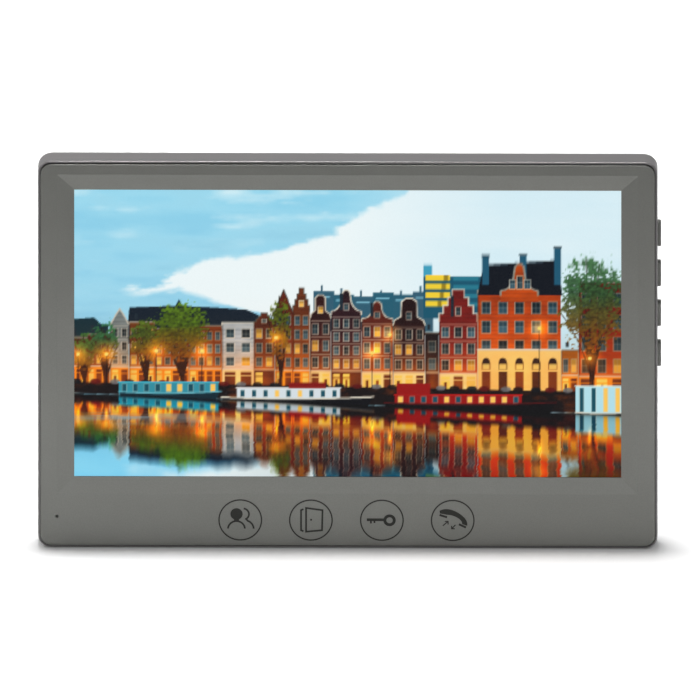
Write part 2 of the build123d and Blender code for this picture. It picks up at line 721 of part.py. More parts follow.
main_chips = packages(
    [
        (6.0, 31.0, 15.0, 15.0),
        (-12.0, 34.0, 9.0, 11.0),
        (23.0, 34.0, 9.0, 11.0),
        (53.0, 20.0, 10.0, 10.0),
        (10.0, -23.0, 7.0, 10.0),
        (-12.0, -17.0, 6.0, 5.0),
        (-12.0, -28.0, 5.0, 6.0),
    ],
    BOARD_BACK,
    -1.2,
)
save(main_chips, "main_chips")

power_inductors = packages([(52.0, -14.0, 7.0, 7.0), (52.0, -25.0, 7.0, 7.0)], BOARD_BACK, -3.0)
save(power_inductors, "power_inductors")

CAPACITOR_BASE = 0.7
CAPACITOR_CAN = 3.1
CAPACITOR_RADIUS = 2.5
CAPACITOR_PLACES = [(47.0, 4.0), (54.0, 4.0), (61.0, 4.0), (61.0, -4.0), (25.0, -20.0), (25.0, -28.0)]

with BuildPart() as board_capacitors:
    with BuildSketch(facing(BOARD_BACK)):
        with Locations(*CAPACITOR_PLACES):
            RectangleRounded(5.3, 5.3, 0.8)
    extrude(amount=-CAPACITOR_BASE)
    with BuildSketch(facing(BOARD_BACK - CAPACITOR_BASE)):
        with Locations(*CAPACITOR_PLACES):
            Circle(CAPACITOR_RADIUS)
    extrude(amount=-CAPACITOR_CAN)
save(board_capacitors, "board_capacitors")

board_plugs = packages([(-25.5, -20.0, 5.0, 6.0), (65.0, 15.0, 4.0, 8.0)], BOARD_BACK, -2.4)
save(board_plugs, "board_plugs")

flex_sockets = packages([(24.0, -28.6, 28.0, 4.0), (-16.0, -34.0, 12.0, 3.6)], BOARD_FRONT, 1.6)
save(flex_sockets, "flex_sockets")

SOCKET_FLOOR = 1.0
SOCKET_WALL = 0.8
PIN_SIZE = 0.64
PIN_TAIL = 0.9
PIN_TIP = 4.0

with BuildPart() as cable_sockets:
    with BuildSketch(facing(BOARD_BACK)):
        for x, pins in zip(SOCKET_XS, SOCKET_PINS):
            with Locations((x, SOCKET_ROW)):
                Rectangle((pins - 1) * PIN_PITCH + SOCKET_SPARE, SOCKET_HEIGHT)
    extrude(amount=-SOCKET_RISE)
    with BuildSketch(facing(BOARD_BACK - SOCKET_FLOOR)):
        for x, pins in zip(SOCKET_XS, SOCKET_PINS):
            with Locations((x, SOCKET_ROW)):
                Rectangle(
                    (pins - 1) * PIN_PITCH + SOCKET_SPARE - 2 * SOCKET_WALL,
                    SOCKET_HEIGHT - 2 * SOCKET_WALL,
                )
                with Locations((0, -SOCKET_HEIGHT / 2)):
                    with GridLocations((pins - 1) * PIN_PITCH, 0, 2, 1):
                        Rectangle(1.2, 2.0)
    extrude(amount=-SOCKET_RISE, mode=Mode.SUBTRACT)
    with BuildSketch(facing(BOARD_BACK)):
        for x, pins in zip(SOCKET_XS, SOCKET_PINS):
            with Locations((x, SOCKET_ROW)):
                with GridLocations(PIN_PITCH, 0, pins, 1):
                    Rectangle(PIN_SIZE, PIN_SIZE)
    extrude(amount=-SOCKET_FLOOR, mode=Mode.SUBTRACT)
save(cable_sockets, "cable_sockets")

with BuildPart() as socket_pins:
    with BuildSketch(facing(BOARD_FRONT + PIN_TAIL)):
        for x, pins in zip(SOCKET_XS, SOCKET_PINS):
            with Locations((x, SOCKET_ROW)):
                with GridLocations(PIN_PITCH, 0, pins, 1):
                    Rectangle(PIN_SIZE, PIN_SIZE)
    extrude(amount=-(BOARD_FRONT + PIN_TAIL - PIN_TIP))
save(socket_pins, "socket_pins")

# ------------------------------------------------------- touch board and keys

with BuildPart() as touch_board:
    with BuildSketch(facing(TOUCH_BOARD)):
        with Locations((0, TOUCH_ROW)):
            RectangleRounded(90.0, 11.0, 1.0)
        with Locations(*TOUCH_POSTS):
            Circle(0.9, mode=Mode.SUBTRACT)
    extrude(amount=TOUCH_BOARD_THICK)
save(touch_board, "touch_board")

with BuildPart() as touch_pads:
    with BuildSketch(facing(TOUCH_BOARD + TOUCH_BOARD_THICK)):
        for x in KEY_XS:
            with Locations((x, KEY_ROW)):
                Circle(5.0)
                Circle(2.4, mode=Mode.SUBTRACT)
    extrude(amount=PANEL_BACK - TOUCH_BOARD - TOUCH_BOARD_THICK)
save(touch_pads, "touch_pads")

touch_chips = packages(
    [(0.0, TOUCH_ROW, 5.0, 5.0), (22.0, TOUCH_ROW, 3.0, 3.0), (-34.0, TOUCH_ROW, 2.0, 4.0)],
    TOUCH_BOARD,
    -0.9,
)
save(touch_chips, "touch_chips")

with BuildPart() as touch_cable:
    with BuildSketch(Plane.YZ.offset(-20.0)):
        with BuildLine():
            Spline((-16.2, -48.6), (-15.2, -46.6), (-12.2, -44.6), (-10.8, -41.0), (-10.4, -36.0))
        trace(line_width=FLEX_THICK)
    extrude(amount=8.0)
save(touch_cable, "touch_cable")

# ------------------------------------------------------------------ microphone

BOOT_LENGTH = 2.6
BOOT_FACE = 0.4
CAPSULE_RADIUS = 2.0
CAPSULE_LENGTH = 1.5

with BuildPart() as microphone_boot:
    with BuildSketch(facing(PANEL_BACK)):
        with Locations(MIC_PLACE):
            Circle(MIC_BOOT)
            Circle(MIC_HOLE, mode=Mode.SUBTRACT)
    extrude(amount=-BOOT_LENGTH)
    with BuildSketch(facing(PANEL_BACK - BOOT_FACE)):
        with Locations(MIC_PLACE):
            Circle(CAPSULE_RADIUS)
    extrude(amount=-BOOT_LENGTH, mode=Mode.SUBTRACT)
save(microphone_boot, "microphone_boot")

with BuildPart() as microphone:
    with BuildSketch(facing(PANEL_BACK - BOOT_FACE)):
        with Locations(MIC_PLACE):
            Circle(CAPSULE_RADIUS)
    extrude(amount=-CAPSULE_LENGTH)
save(microphone, "microphone")

# ------------------------------------------------- side key board and buttons

with BuildPart() as side_key_board:
    with BuildSketch(Plane.YZ.offset(KEY_BOARD_X)):
        with Locations((-14.05, 17.8)):
            Rectangle(8.4, 62.4)
    extrude(amount=KEY_BOARD_THICK)
save(side_key_board, "side_key_board")

SWITCH_FACE = KEY_BOARD_X + KEY_BOARD_THICK + SWITCH_HEIGHT
PLUNGER_TIP = SWITCH_FACE + BUTTON_TRAVEL + 0.2
PLUNGER_END = PLUNGER_TIP - 1.2
STEM_RADIUS = 1.3

with BuildPart() as switch_housings:
    with BuildSketch(Plane.YZ.offset(KEY_BOARD_X + KEY_BOARD_THICK)):
        with Locations(*[(-BUTTON_DEPTH, z) for z in BUTTON_ZS]):
            RectangleRounded(SWITCH_SIZE, SWITCH_SIZE, 0.4)
    extrude(amount=SWITCH_HEIGHT)
    with BuildSketch(Plane.YZ.offset(PLUNGER_END - BUTTON_TRAVEL - 0.1)):
        with Locations(*[(-BUTTON_DEPTH, z) for z in BUTTON_ZS]):
            Circle(PLUNGER_RADIUS + 0.05)
    extrude(amount=2.0, mode=Mode.SUBTRACT)
save(switch_housings, "switch_housings")

for number, z in enumerate(BUTTON_ZS, 1):
    with BuildPart() as switch_plunger:
        with BuildSketch(Plane.YZ.offset(PLUNGER_END)):
            with Locations((-BUTTON_DEPTH, z)):
                Circle(PLUNGER_RADIUS)
        extrude(amount=PLUNGER_TIP - PLUNGER_END)
    save(switch_plunger, f"switch_plunger_{number}")

    with BuildPart() as side_button:
        with BuildSketch(Plane.YZ.offset(FLANGE_FACE - FLANGE_THICK)):
            with Locations((-BUTTON_DEPTH, z)):
                RectangleRounded(BUTTON_WIDTH, BUTTON_LENGTH, 0.95)
        extrude(amount=CASE_WIDTH / 2 + BUTTON_PROUD - FLANGE_FACE + FLANGE_THICK)
        fillet(side_button.faces().sort_by(Axis.X)[-1].edges(), 0.4)
        with BuildSketch(Plane.YZ.offset(FLANGE_FACE - FLANGE_THICK)):
            with Locations((-BUTTON_DEPTH, z)):
                RectangleRounded(BUTTON_WIDTH + 1.6, BUTTON_LENGTH + 1.6, 1.0)
        extrude(amount=FLANGE_THICK)
        with BuildSketch(Plane.YZ.offset(PLUNGER_TIP)):
            with Locations((-BUTTON_DEPTH, z)):
                Circle(STEM_RADIUS)
        extrude(amount=FLANGE_FACE - FLANGE_THICK - PLUNGER_TIP)
    save(side_button, f"side_button_{number}")

# ----------------------------------------------------------------- loudspeaker

SPEAKER_X, SPEAKER_Z = SPEAKER_PLACE
speaker_plane = Plane((SPEAKER_X, 0, SPEAKER_Z), x_dir=(1, 0, 0), z_dir=(0, 0, -1))
speaker_axis = Axis((SPEAKER_X, 0, SPEAKER_Z), (0, 1, 0))
FLANGE_BACK = SHELL_BACK + GASKET_THICK
FLANGE_FRONT = FLANGE_BACK + SPEAKER_FLANGE
MAGNET_BACK = 9.6
MAGNET_FRONT = 12.4


def turned(points):
    """A loudspeaker part turned about its axis from an outline of radius and depth."""
    with BuildPart() as lathe:
        with BuildSketch(speaker_plane):
            with BuildLine():
                Polyline(*points, close=True)
            make_face()
        revolve(axis=speaker_axis)
    return lathe


speaker_gasket = turned(
    [(13.6, SHELL_BACK), (SPEAKER_RADIUS, SHELL_BACK), (SPEAKER_RADIUS, FLANGE_BACK), (13.6, FLANGE_BACK)]
)
save(speaker_gasket, "speaker_gasket")

speaker_frame = turned(
    [
        (13.4, FLANGE_BACK),
        (SPEAKER_RADIUS, FLANGE_BACK),
        (SPEAKER_RADIUS, FLANGE_FRONT),
        (14.4, FLANGE_FRONT),
        (9.4, 8.8),
        (9.4, MAGNET_BACK),
        (4.2, MAGNET_BACK),
        (4.2, 9.0),
        (8.7, 9.0),
        (8.7, 8.4),
        (13.4, 5.1),
    ]
)
save(speaker_frame, "speaker_frame")

speaker_cone = turned(
    [
        (0, 6.3),
        (2.6, 6.6),
        (3.9, 7.5),
        (12.4, 4.7),
        (13.4, 4.7),
        (13.4, 5.0),
        (12.5, 5.0),
        (4.0, 7.85),
        (4.0, 9.4),
        (3.7, 9.4),
        (3.7, 7.8),
        (2.5, 6.9),
        (0, 6.6),
    ]
)
save(speaker_cone, "speaker_cone")

speaker_magnet = turned(
    [(0, MAGNET_BACK), (8.6, MAGNET_BACK), (9.0, 10.0), (9.0, 12.0), (8.6, MAGNET_FRONT), (0, MAGNET_FRONT)]
)
save(speaker_magnet, "speaker_magnet")

# ----------------------------------------------------------------------- wires

speaker_wires = wires(
    [
        [(-45.0, -7.9, z), (-38.0, -8.6, z + 0.6), (-33.0, -7.7, z + 0.9), (-28.0, -7.3, z + 1.0)]
        for z in (-21.6, -20.0)
    ],
    0.4,
)
save(speaker_wires, "speaker_wires")

microphone_wires = wires(
    [
        [
            (-81.4, -16.4, z + 2.7),
            (-78.0, -14.4, z + 4.8),
            (-72.0, -15.0, z + 6.0),
            (-66.0, -15.0, z + 2.8),
            (-60.0, -15.2, z - 0.6),
            (-52.0, -15.6, z - 0.4),
            (-43.6, -15.9, z),
        ]
        for z in (-51.8, -50.8)
    ],
    0.35,
)
save(microphone_wires, "microphone_wires")

side_key_wires = wires(
    [
        [(79.7, -11.2, z), (75.0, -10.4, z - 0.8), (71.0, -8.2, z - 1.6), (67.0, -7.2, z - 2.0)]
        for z in (14.8, 16.0, 17.2, 18.4)
    ],
    0.4,
)
save(side_key_wires, "side_key_wires")

# ---------------------------------------------------------------------- screws

case_screws = screws(CASE_SCREWS, SCREW_SEAT, 2.7, 1.9, 1.13, 9.6)
save(case_screws, "case_screws")

chassis_screws = screws(CHASSIS_TABS, CHASSIS_BACK, 1.9, 1.2, 0.88, 5.0)
save(chassis_screws, "chassis_screws")

board_screws = screws(BOARD_POSTS, BOARD_BACK, 2.3, 1.4, 1.23, 4.6)
save(board_screws, "board_screws")

touch_screws = screws(TOUCH_POSTS, TOUCH_BOARD, 1.6, 1.0, 0.78, 3.0)
save(touch_screws, "touch_screws")

ears = [
    (
        SPEAKER_X + SPEAKER_EAR * cos(radians(angle)),
        SPEAKER_Z + SPEAKER_EAR * sin(radians(angle)),
    )
    for angle in (90, 210, 330)
]
speaker_screws = screws(ears, FLANGE_FRONT, 3.4, 1.2, 0.78, 1.3, toward=-1)
save(speaker_screws, "speaker_screws")

# --------------------------------------------------------- outside of the back

with BuildPart() as rubber_pads:
    with BuildSketch(facing(0)):
        with Locations(*PAD_PLACES):
            Circle(PAD_RADIUS)
    extrude(amount=CASE_BACK + PAD_SUNK)
    fillet(rubber_pads.edges().filter_by(GeomType.CIRCLE).group_by(Axis.Y)[-1], 0.4)
save(rubber_pads, "rubber_pads")

LABEL_MIDDLE = (58.5, -19.0)
LABEL_SIZE = (29.0, 18.0)
LABEL_THICK = 0.15

with BuildPart() as rating_label:
    with BuildSketch(facing(CASE_BACK)):
        with Locations(LABEL_MIDDLE):
            RectangleRounded(*LABEL_SIZE, 1.0)
    extrude(amount=-LABEL_THICK)
save(rating_label, "rating_label")

# ---------------------------------------------------------------- wall bracket

UP_MARK = 8.0
UP_MARK_ROW = 24.0
LIP_BACK = SHELL_BACK + HOOK_GAP
LIP_FRONT_FACE = LIP_BACK + SHEET

with BuildPart() as wall_bracket:
    with BuildSketch(facing(0)):
        RectangleRounded(*BRACKET_SIZE, 5.0)
        with GridLocations(*BRACKET_SCREWS, 2, 2):
            Circle(BRACKET_HOLE, mode=Mode.SUBTRACT)
        with GridLocations(BRACKET_SLOTS, 0, 2, 1):
            SlotOverall(BRACKET_SLOT_LENGTH, 2 * BRACKET_HOLE, mode=Mode.SUBTRACT)
        with Locations(CABLE_WINDOW_MIDDLE):
            RectangleRounded(*CABLE_WINDOW, 3.0, mode=Mode.SUBTRACT)
        with Locations((0, UP_MARK_ROW)):
            Triangle(a=UP_MARK, b=UP_MARK, c=UP_MARK, mode=Mode.SUBTRACT)
        for side in (-1, 1):
            for row in HOOK_ROWS:
                with Locations((side * HOOK_X, row + HOOK_LIP * 0.85)):
                    Rectangle(HOOK_WIDTH, HOOK_LIP * 1.7, mode=Mode.SUBTRACT)
    extrude(amount=SHEET)
    for side in (-1, 1):
        for row in HOOK_ROWS:
            with BuildSketch(Plane.YZ.offset(side * HOOK_X - HOOK_WIDTH / 2)) as hook:
                with BuildLine():
                    Polyline(
                        (0, row - SHEET),
                        (-LIP_FRONT_FACE, row - SHEET),
                        (-LIP_FRONT_FACE, row + HOOK_LIP),
                        (-LIP_BACK, row + HOOK_LIP),
                        (-LIP_BACK, row),
                        (0, row),
                        close=True,
                    )
                make_face()
                low_front = hook.vertices().group_by(Axis.Z)[0].sort_by(Axis.Y)[0]
                fillet(low_front, 1.0)
            extrude(amount=HOOK_WIDTH)
save(wall_bracket, "wall_bracket")
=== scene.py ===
import json
import math

import bpy
import numpy as np
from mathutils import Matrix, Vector


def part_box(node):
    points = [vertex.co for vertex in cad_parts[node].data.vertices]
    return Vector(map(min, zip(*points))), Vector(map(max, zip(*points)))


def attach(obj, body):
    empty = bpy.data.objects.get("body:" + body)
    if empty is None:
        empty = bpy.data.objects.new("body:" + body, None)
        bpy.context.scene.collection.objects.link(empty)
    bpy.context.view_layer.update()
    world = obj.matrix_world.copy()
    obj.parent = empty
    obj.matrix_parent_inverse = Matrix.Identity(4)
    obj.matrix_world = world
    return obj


# The looks of a wall-mounted video intercom monitor. Everything is in metres, in the CAD
# part's own frame: +Z up, the front faces -Y, and the wall is the plane y = 0.
MM = 0.001

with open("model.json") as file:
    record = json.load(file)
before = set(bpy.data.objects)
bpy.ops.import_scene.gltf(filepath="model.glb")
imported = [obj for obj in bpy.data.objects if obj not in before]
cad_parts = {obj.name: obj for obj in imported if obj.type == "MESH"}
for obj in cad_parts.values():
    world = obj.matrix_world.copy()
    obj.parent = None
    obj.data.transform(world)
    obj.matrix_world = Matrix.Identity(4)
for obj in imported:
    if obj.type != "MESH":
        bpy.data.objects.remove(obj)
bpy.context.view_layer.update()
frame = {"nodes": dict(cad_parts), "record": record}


# ------------------------------------------------------------------ materials


class Finish:
    """One procedural material: a Principled shader fed by textures measured in millimetres."""

    def __init__(self, name, colour, metallic=0.0, specular=0.5, stretch=(1, 1, 1)):
        self.material = bpy.data.materials.new(name)
        self.material.use_nodes = True
        self.tree = self.material.node_tree
        self.shader = self.tree.nodes["Principled BSDF"]
        self.shader.inputs["Metallic"].default_value = metallic
        self.shader.inputs["Specular IOR Level"].default_value = specular
        place = self.add("ShaderNodeTexCoord")
        self.place = self.add("ShaderNodeMapping")
        self.place.inputs["Scale"].default_value = [side / MM for side in stretch]
        self.join(place.outputs["Object"], self.place.inputs["Vector"])
        self.colour = colour

    def add(self, kind, **settings):
        """A new node with some of its settings changed."""
        node = self.tree.nodes.new(kind)
        for key, value in settings.items():
            setattr(node, key, value)
        return node

    def join(self, source, target):
        """Link an output to an input."""
        self.tree.links.new(source, target)

    def noise(self, size, detail=3.0, distortion=0.0):
        """Smooth noise whose features are about one size, in millimetres."""
        node = self.add("ShaderNodeTexNoise")
        node.inputs["Scale"].default_value = 1.0 / size
        node.inputs["Detail"].default_value = detail
        node.inputs["Distortion"].default_value = distortion
        self.join(self.place.outputs["Vector"], node.inputs["Vector"])
        return node.outputs["Fac"]

    def cells(self, size, feature="F1"):
        """Cell noise, such as paint flake or moulded grain."""
        node = self.add("ShaderNodeTexVoronoi", feature=feature)
        node.inputs["Scale"].default_value = 1.0 / size
        self.join(self.place.outputs["Vector"], node.inputs["Vector"])
        return node

    def ramp(self, value, low, high, start=0.3, end=0.7):
        """Map a value between two numbers."""
        node = self.add("ShaderNodeMapRange")
        node.inputs["From Min"].default_value = start
        node.inputs["From Max"].default_value = end
        node.inputs["To Min"].default_value = low
        node.inputs["To Max"].default_value = high
        self.join(value, node.inputs["Value"])
        return node.outputs["Result"]

    def math(self, operation, first, second=0.0):
        """Work out a number from one or two; each is a number or a socket."""
        node = self.add("ShaderNodeMath", operation=operation)
        for socket, value in zip(node.inputs, (first, second)):
            if isinstance(value, (int, float)):
                socket.default_value = value
            else:
                self.join(value, socket)
        return node.outputs["Value"]

    def blend(self, factor, first, second):
        """Mix two colours; each is a colour or a socket."""
        node = self.add("ShaderNodeMix", data_type="RGBA", blend_type="MIX")
        for name, value in (("Factor", factor), ("A", first), ("B", second)):
            socket = next(s for s in node.inputs if s.name == name and s.enabled)
            if isinstance(value, (tuple, list)):
                socket.default_value = (*value[:3], 1.0)
            elif isinstance(value, (int, float)):
                socket.default_value = value
            else:
                self.join(value, socket)
        return next(s for s in node.outputs if s.enabled)

    def tinted(self, factor, spread):
        """The finish's colour, darker and lighter by the spread as the factor runs 0 to 1."""
        dark = [c * (1 - spread) for c in self.colour]
        light = [min(1.0, c * (1 + spread)) for c in self.colour]
        return self.blend(factor, dark, light)

    def bump(self, height, size):
        """Relief from a texture; the size is its height in millimetres."""
        node = self.add("ShaderNodeBump")
        node.inputs["Distance"].default_value = size * MM
        node.inputs["Strength"].default_value = 1.0
        self.join(height, node.inputs["Height"])
        self.join(node.outputs["Normal"], self.shader.inputs["Normal"])

    def finish(self, colour, roughness):
        """Feed the shader's colour and roughness, and hand over the material."""
        self.join(colour, self.shader.inputs["Base Color"])
        self.join(roughness, self.shader.inputs["Roughness"])
        return self.material


def plain(name, colour, roughness, grain=0.4, spread=0.08, relief=0.004, **facts):
    """A moulded, cast or pressed material with fine grain and a broad uneven tone."""
    make = Finish(name, colour, **facts)
    fine = make.noise(grain)
    broad = make.noise(9.0, detail=2.0)
    tone = make.math("ADD", make.math("MULTIPLY", fine, 0.5), make.math("MULTIPLY", broad, 0.5))
    make.bump(fine, relief)
    rough = make.ramp(tone, roughness * 0.85, min(1.0, roughness * 1.15))
    return make.finish(make.tinted(make.ramp(tone, 0.0, 1.0), spread), rough)


def graphite_paint(name, colour, roughness):
    """Satin metallic paint: fine flake, faint orange peel, and a broad cloudiness."""
    make = Finish(name, colour, metallic=0.30)
    flake = make.cells(0.40)
    cloud = make.noise(14.0, detail=2.0)
    peel = make.noise(0.8, detail=1.0)
    glint = make.ramp(flake.outputs["Distance"], 0.0, 1.0, 0.1, 0.7)
    tone = make.math(
        "ADD", make.math("MULTIPLY", glint, 0.6), make.math("MULTIPLY", cloud, 0.4)
    )
    make.bump(peel, 0.0016)
    rough = make.ramp(tone, roughness * 0.96, roughness * 1.05)
    return make.finish(make.tinted(tone, 0.08), rough)


def textured_plastic(name, colour, roughness):
    """Painted plastic with a fine spark-eroded grain."""
    make = Finish(name, colour, metallic=0.25, specular=0.4)
    pebble = make.noise(0.35, detail=4.0)
    cloud = make.noise(18.0, detail=2.0)
    tone = make.math(
        "ADD", make.math("MULTIPLY", pebble, 0.5), make.math("MULTIPLY", cloud, 0.5)
    )
    make.bump(pebble, 0.006)
    rough = make.ramp(tone, roughness * 0.9, roughness * 1.15)
    return make.finish(make.tinted(make.ramp(tone, 0.0, 1.0), 0.08), rough)


def brushed(name, colour, roughness):
    """Rolled sheet metal with fine lines along one direction and dull patches."""
    make = Finish(name, colour, metallic=1.0, stretch=(0.04, 1, 1))
    lines = make.noise(0.25, detail=4.0)
    patch = make.noise(7.0, detail=2.0)
    tone = make.math("ADD", make.math("MULTIPLY", lines, 0.6), make.math("MULTIPLY", patch, 0.4))
    make.bump(lines, 0.002)
    rough = make.ramp(tone, roughness * 0.75, roughness * 1.35)
    return make.finish(make.tinted(make.ramp(tone, 0.0, 1.0), 0.12), rough)


def coated_steel(name, colour, roughness):
    """Black baked coating: soft texture, with metal worn through in small nicks."""
    make = Finish(name, colour)
    grain = make.noise(0.5, detail=4.0)
    wear = make.ramp(make.noise(3.0, detail=6.0, distortion=0.6), 0.0, 1.0, 0.68, 0.74)
    base = make.tinted(make.ramp(grain, 0.0, 1.0), 0.15)
    make.bump(grain, 0.01)
    rough = make.ramp(grain, roughness * 0.9, roughness * 1.2)
    worn = make.blend(make.math("MULTIPLY", wear, 0.35), base, (0.3, 0.3, 0.3))
    return make.finish(worn, rough)


def solder_mask(name):
    """Green circuit board with copper tracks showing under the mask."""
    make = Finish(name, (0.012, 0.11, 0.045))
    cells = make.cells(2.6, "DISTANCE_TO_EDGE")
    track = make.ramp(cells.outputs["Distance"], 1.0, 0.0, 0.05, 0.09)
    grain = make.noise(0.3)
    ground = make.tinted(make.ramp(grain, 0.0, 1.0), 0.12)
    make.bump(track, 0.02)
    rough = make.ramp(grain, 0.26, 0.4)
    return make.finish(make.blend(track, ground, (0.03, 0.2, 0.07)), rough)


def printed_label(name):
    """Blank silver rating label with a few plain coloured wire stripes and no lettering."""
    make = Finish(name, (0.62, 0.62, 0.61), metallic=0.4)
    fibre = make.noise(0.25, detail=4.0)
    apart = make.add("ShaderNodeSeparateXYZ")
    make.join(make.place.outputs["Vector"], apart.inputs["Vector"])
    low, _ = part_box("rating_label")
    base = make.tinted(make.ramp(fibre, 0.0, 1.0), 0.05)
    left, floor = low[0] / MM, low[2] / MM
    first_row, pitch, half_high = 4.2, 3.2, 0.55
    start, end = left + 3.0, left + 15.0
    inks = ((0.5, 0.03, 0.02), (0.02, 0.08, 0.45), (0.75, 0.55, 0.03), (0.7, 0.7, 0.7))
    for row, ink in enumerate(inks):
        away = make.math("SUBTRACT", apart.outputs["Z"], floor + first_row + row * pitch)
        band = make.math("LESS_THAN", make.math("ABSOLUTE", away), half_high)
        past_start = make.math("GREATER_THAN", apart.outputs["X"], start)
        before_end = make.math("LESS_THAN", apart.outputs["X"], end)
        stripe = make.math("MULTIPLY", band, make.math("MULTIPLY", past_start, before_end))
        base = make.blend(stripe, base, ink)
    make.bump(fibre, 0.003)
    return make.finish(base, make.ramp(fibre, 0.28, 0.45))


def screen_film(name):
    """The lit picture behind an anti-glare film: the painted colours shine by themselves."""
    make = Finish(name, (0.004, 0.004, 0.005), specular=0.06)
    paint = make.add("ShaderNodeVertexColor", layer_name="picture")
    haze = make.noise(0.3, detail=2.0)
    lit = make.blend(make.ramp(haze, 0.0, 0.03), paint.outputs["Color"], (0.1, 0.11, 0.12))
    make.join(lit, make.shader.inputs["Emission Color"])
    make.shader.inputs["Emission Strength"].default_value = 0.97
    make.bump(haze, 0.0015)
    return make.finish(make.tinted(haze, 0.2), make.ramp(haze, 0.4, 0.52))


def black_glass(name):
    """Dark glass with faint wiping smears in its gloss."""
    make = Finish(name, (0.008, 0.008, 0.01))
    smear = make.noise(6.0, detail=3.0)
    return make.finish(make.tinted(smear, 0.2), make.ramp(smear, 0.08, 0.2))


FINISHES = {
    "graphite_paint": graphite_paint("graphite_paint", (0.125, 0.127, 0.116), 0.36),
    "shell_plastic": textured_plastic("shell_plastic", (0.148, 0.142, 0.143), 0.34),
    "key_print": plain("key_print", (0.016, 0.016, 0.014), 0.55, grain=0.2, specular=0.2),
    "screen_glass": black_glass("screen_glass"),
    "sheet_steel": brushed("sheet_steel", (0.56, 0.57, 0.58), 0.34),
    "bracket_steel": coated_steel("bracket_steel", (0.028, 0.028, 0.030), 0.5),
    "white_plastic": plain("white_plastic", (0.76, 0.76, 0.73), 0.4),
    "black_foam": plain("black_foam", (0.02, 0.02, 0.02), 0.95, grain=0.25, relief=0.08),
    "black_rubber": plain("black_rubber", (0.022, 0.022, 0.022), 0.7, spread=0.25, relief=0.02),
    "flex_film": plain("flex_film", (0.42, 0.2, 0.03), 0.3, grain=1.5),
    "circuit_board": solder_mask("circuit_board"),
    "chip_plastic": plain("chip_plastic", (0.02, 0.02, 0.022), 0.5, grain=0.12, relief=0.01),
    "ferrite": plain("ferrite", (0.09, 0.09, 0.09), 0.6, relief=0.02),
    "capacitor_can": brushed("capacitor_can", (0.68, 0.68, 0.69), 0.25),
    "brass": brushed("brass", (0.72, 0.52, 0.22), 0.28),
    "tin_plate": brushed("tin_plate", (0.72, 0.71, 0.68), 0.22),
    "socket_plastic": plain("socket_plastic", (0.74, 0.70, 0.58), 0.42),
    "speaker_metal": brushed("speaker_metal", (0.3, 0.3, 0.31), 0.38),
    "speaker_paper": plain("speaker_paper", (0.035, 0.035, 0.035), 0.85, grain=0.3, relief=0.03),
    "magnet": plain("magnet", (0.06, 0.06, 0.06), 0.6, relief=0.03),
    "wire_jacket": plain("wire_jacket", (0.42, 0.03, 0.025), 0.35),
    "screw_steel": brushed("screw_steel", (0.5, 0.5, 0.5), 0.3),
    "label_paper": printed_label("label_paper"),
}


def dress_frame():
    """Give every CAD node the finish of its slot in the record."""
    for part in frame["record"]["subparts"]:
        thing = frame["nodes"][part["node"]]
        finish = FINISHES[part["material_slot"]]
        for slot in thing.material_slots:
            slot.material = finish
        if not thing.material_slots:
            thing.data.materials.append(finish)


dress_frame()

# --------------------------------------------------------- the picture on screen

# A generic waterfront at dusk. It is painted on a canvas in millimetres, from its lower
# left corner, and then sampled onto a fine grid of faces, whose corners carry its colours.
# The canvas is the front cover's window and a little more, tucked under the cover's edge.
WINDOW_WIDE, WINDOW_HIGH, WINDOW_MIDDLE = 154.5, 86.2, 6.15
TUCK = 0.4
VIEW_WIDE, VIEW_HIGH = WINDOW_WIDE + 2 * TUCK, WINDOW_HIGH + 2 * TUCK
DOTS_PER_MM = 7

random = np.random.default_rng(7)
columns = int(VIEW_WIDE * DOTS_PER_MM)
rows = int(VIEW_HIGH * DOTS_PER_MM)
grid_z, grid_x = np.meshgrid(
    (np.arange(rows) + 0.5) / DOTS_PER_MM, (np.arange(columns) + 0.5) / DOTS_PER_MM, indexing="ij"
)
canvas = np.zeros((rows, columns, 3))

LAMP_YELLOW = (1.0, 0.88, 0.42)
TRIM = (0.86, 0.83, 0.76)
SLATE = (0.06, 0.12, 0.17)
STONE = (0.98, 0.80, 0.45)
SHOPFRONTS = {"lit": (0.9, 0.50, 0.10), "cream": (0.97, 0.86, 0.60), "dark": (0.20, 0.07, 0.04)}
WHOLE = (slice(None), slice(None))


def street(x):
    """Height of the street; the waterfront comes nearer towards the right."""
    return 28.4 - 0.018 * x


def shore(x):
    """Height of the waterline."""
    return 25.2 - 0.040 * x


def soft_noise(size_x, size_z, octaves=4, seed=0):
    """Smooth noise from 0 to 1 over the canvas; the sizes are its largest blobs, in mm."""
    source = np.random.default_rng(seed)
    total = np.zeros((rows, columns))
    weight = 1.0
    for _ in range(octaves):
        lattice = source.random((int(VIEW_HIGH / size_z) + 3, int(VIEW_WIDE / size_x) + 3))
        at_x, at_z = grid_x[0] / size_x, grid_z[:, 0] / size_z
        low_x, low_z = at_x.astype(int), at_z.astype(int)
        part_x, part_z = at_x - low_x, at_z - low_z
        part_x = part_x * part_x * (3 - 2 * part_x)
        part_z = (part_z * part_z * (3 - 2 * part_z))[:, None]
        across = lattice[:, low_x] * (1 - part_x) + lattice[:, low_x + 1] * part_x
        total += weight * (across[low_z] * (1 - part_z) + across[low_z + 1] * part_z)
        weight *= 0.55
        size_x, size_z = size_x / 2, size_z / 2
    return (total - total.min()) / (total.max() - total.min())


# The uneven tone of the brickwork, the quay and the lamplight.
patches = soft_noise(5, 2.2, 5, seed=21)


def window_of(x0, z0, x1, z1):
    """The canvas slices that cover a box in millimetres."""
    across = slice(max(0, int(x0 * DOTS_PER_MM)), max(0, math.ceil(x1 * DOTS_PER_MM)))
    up = slice(max(0, int(z0 * DOTS_PER_MM)), max(0, math.ceil(z1 * DOTS_PER_MM)))
    return up, across


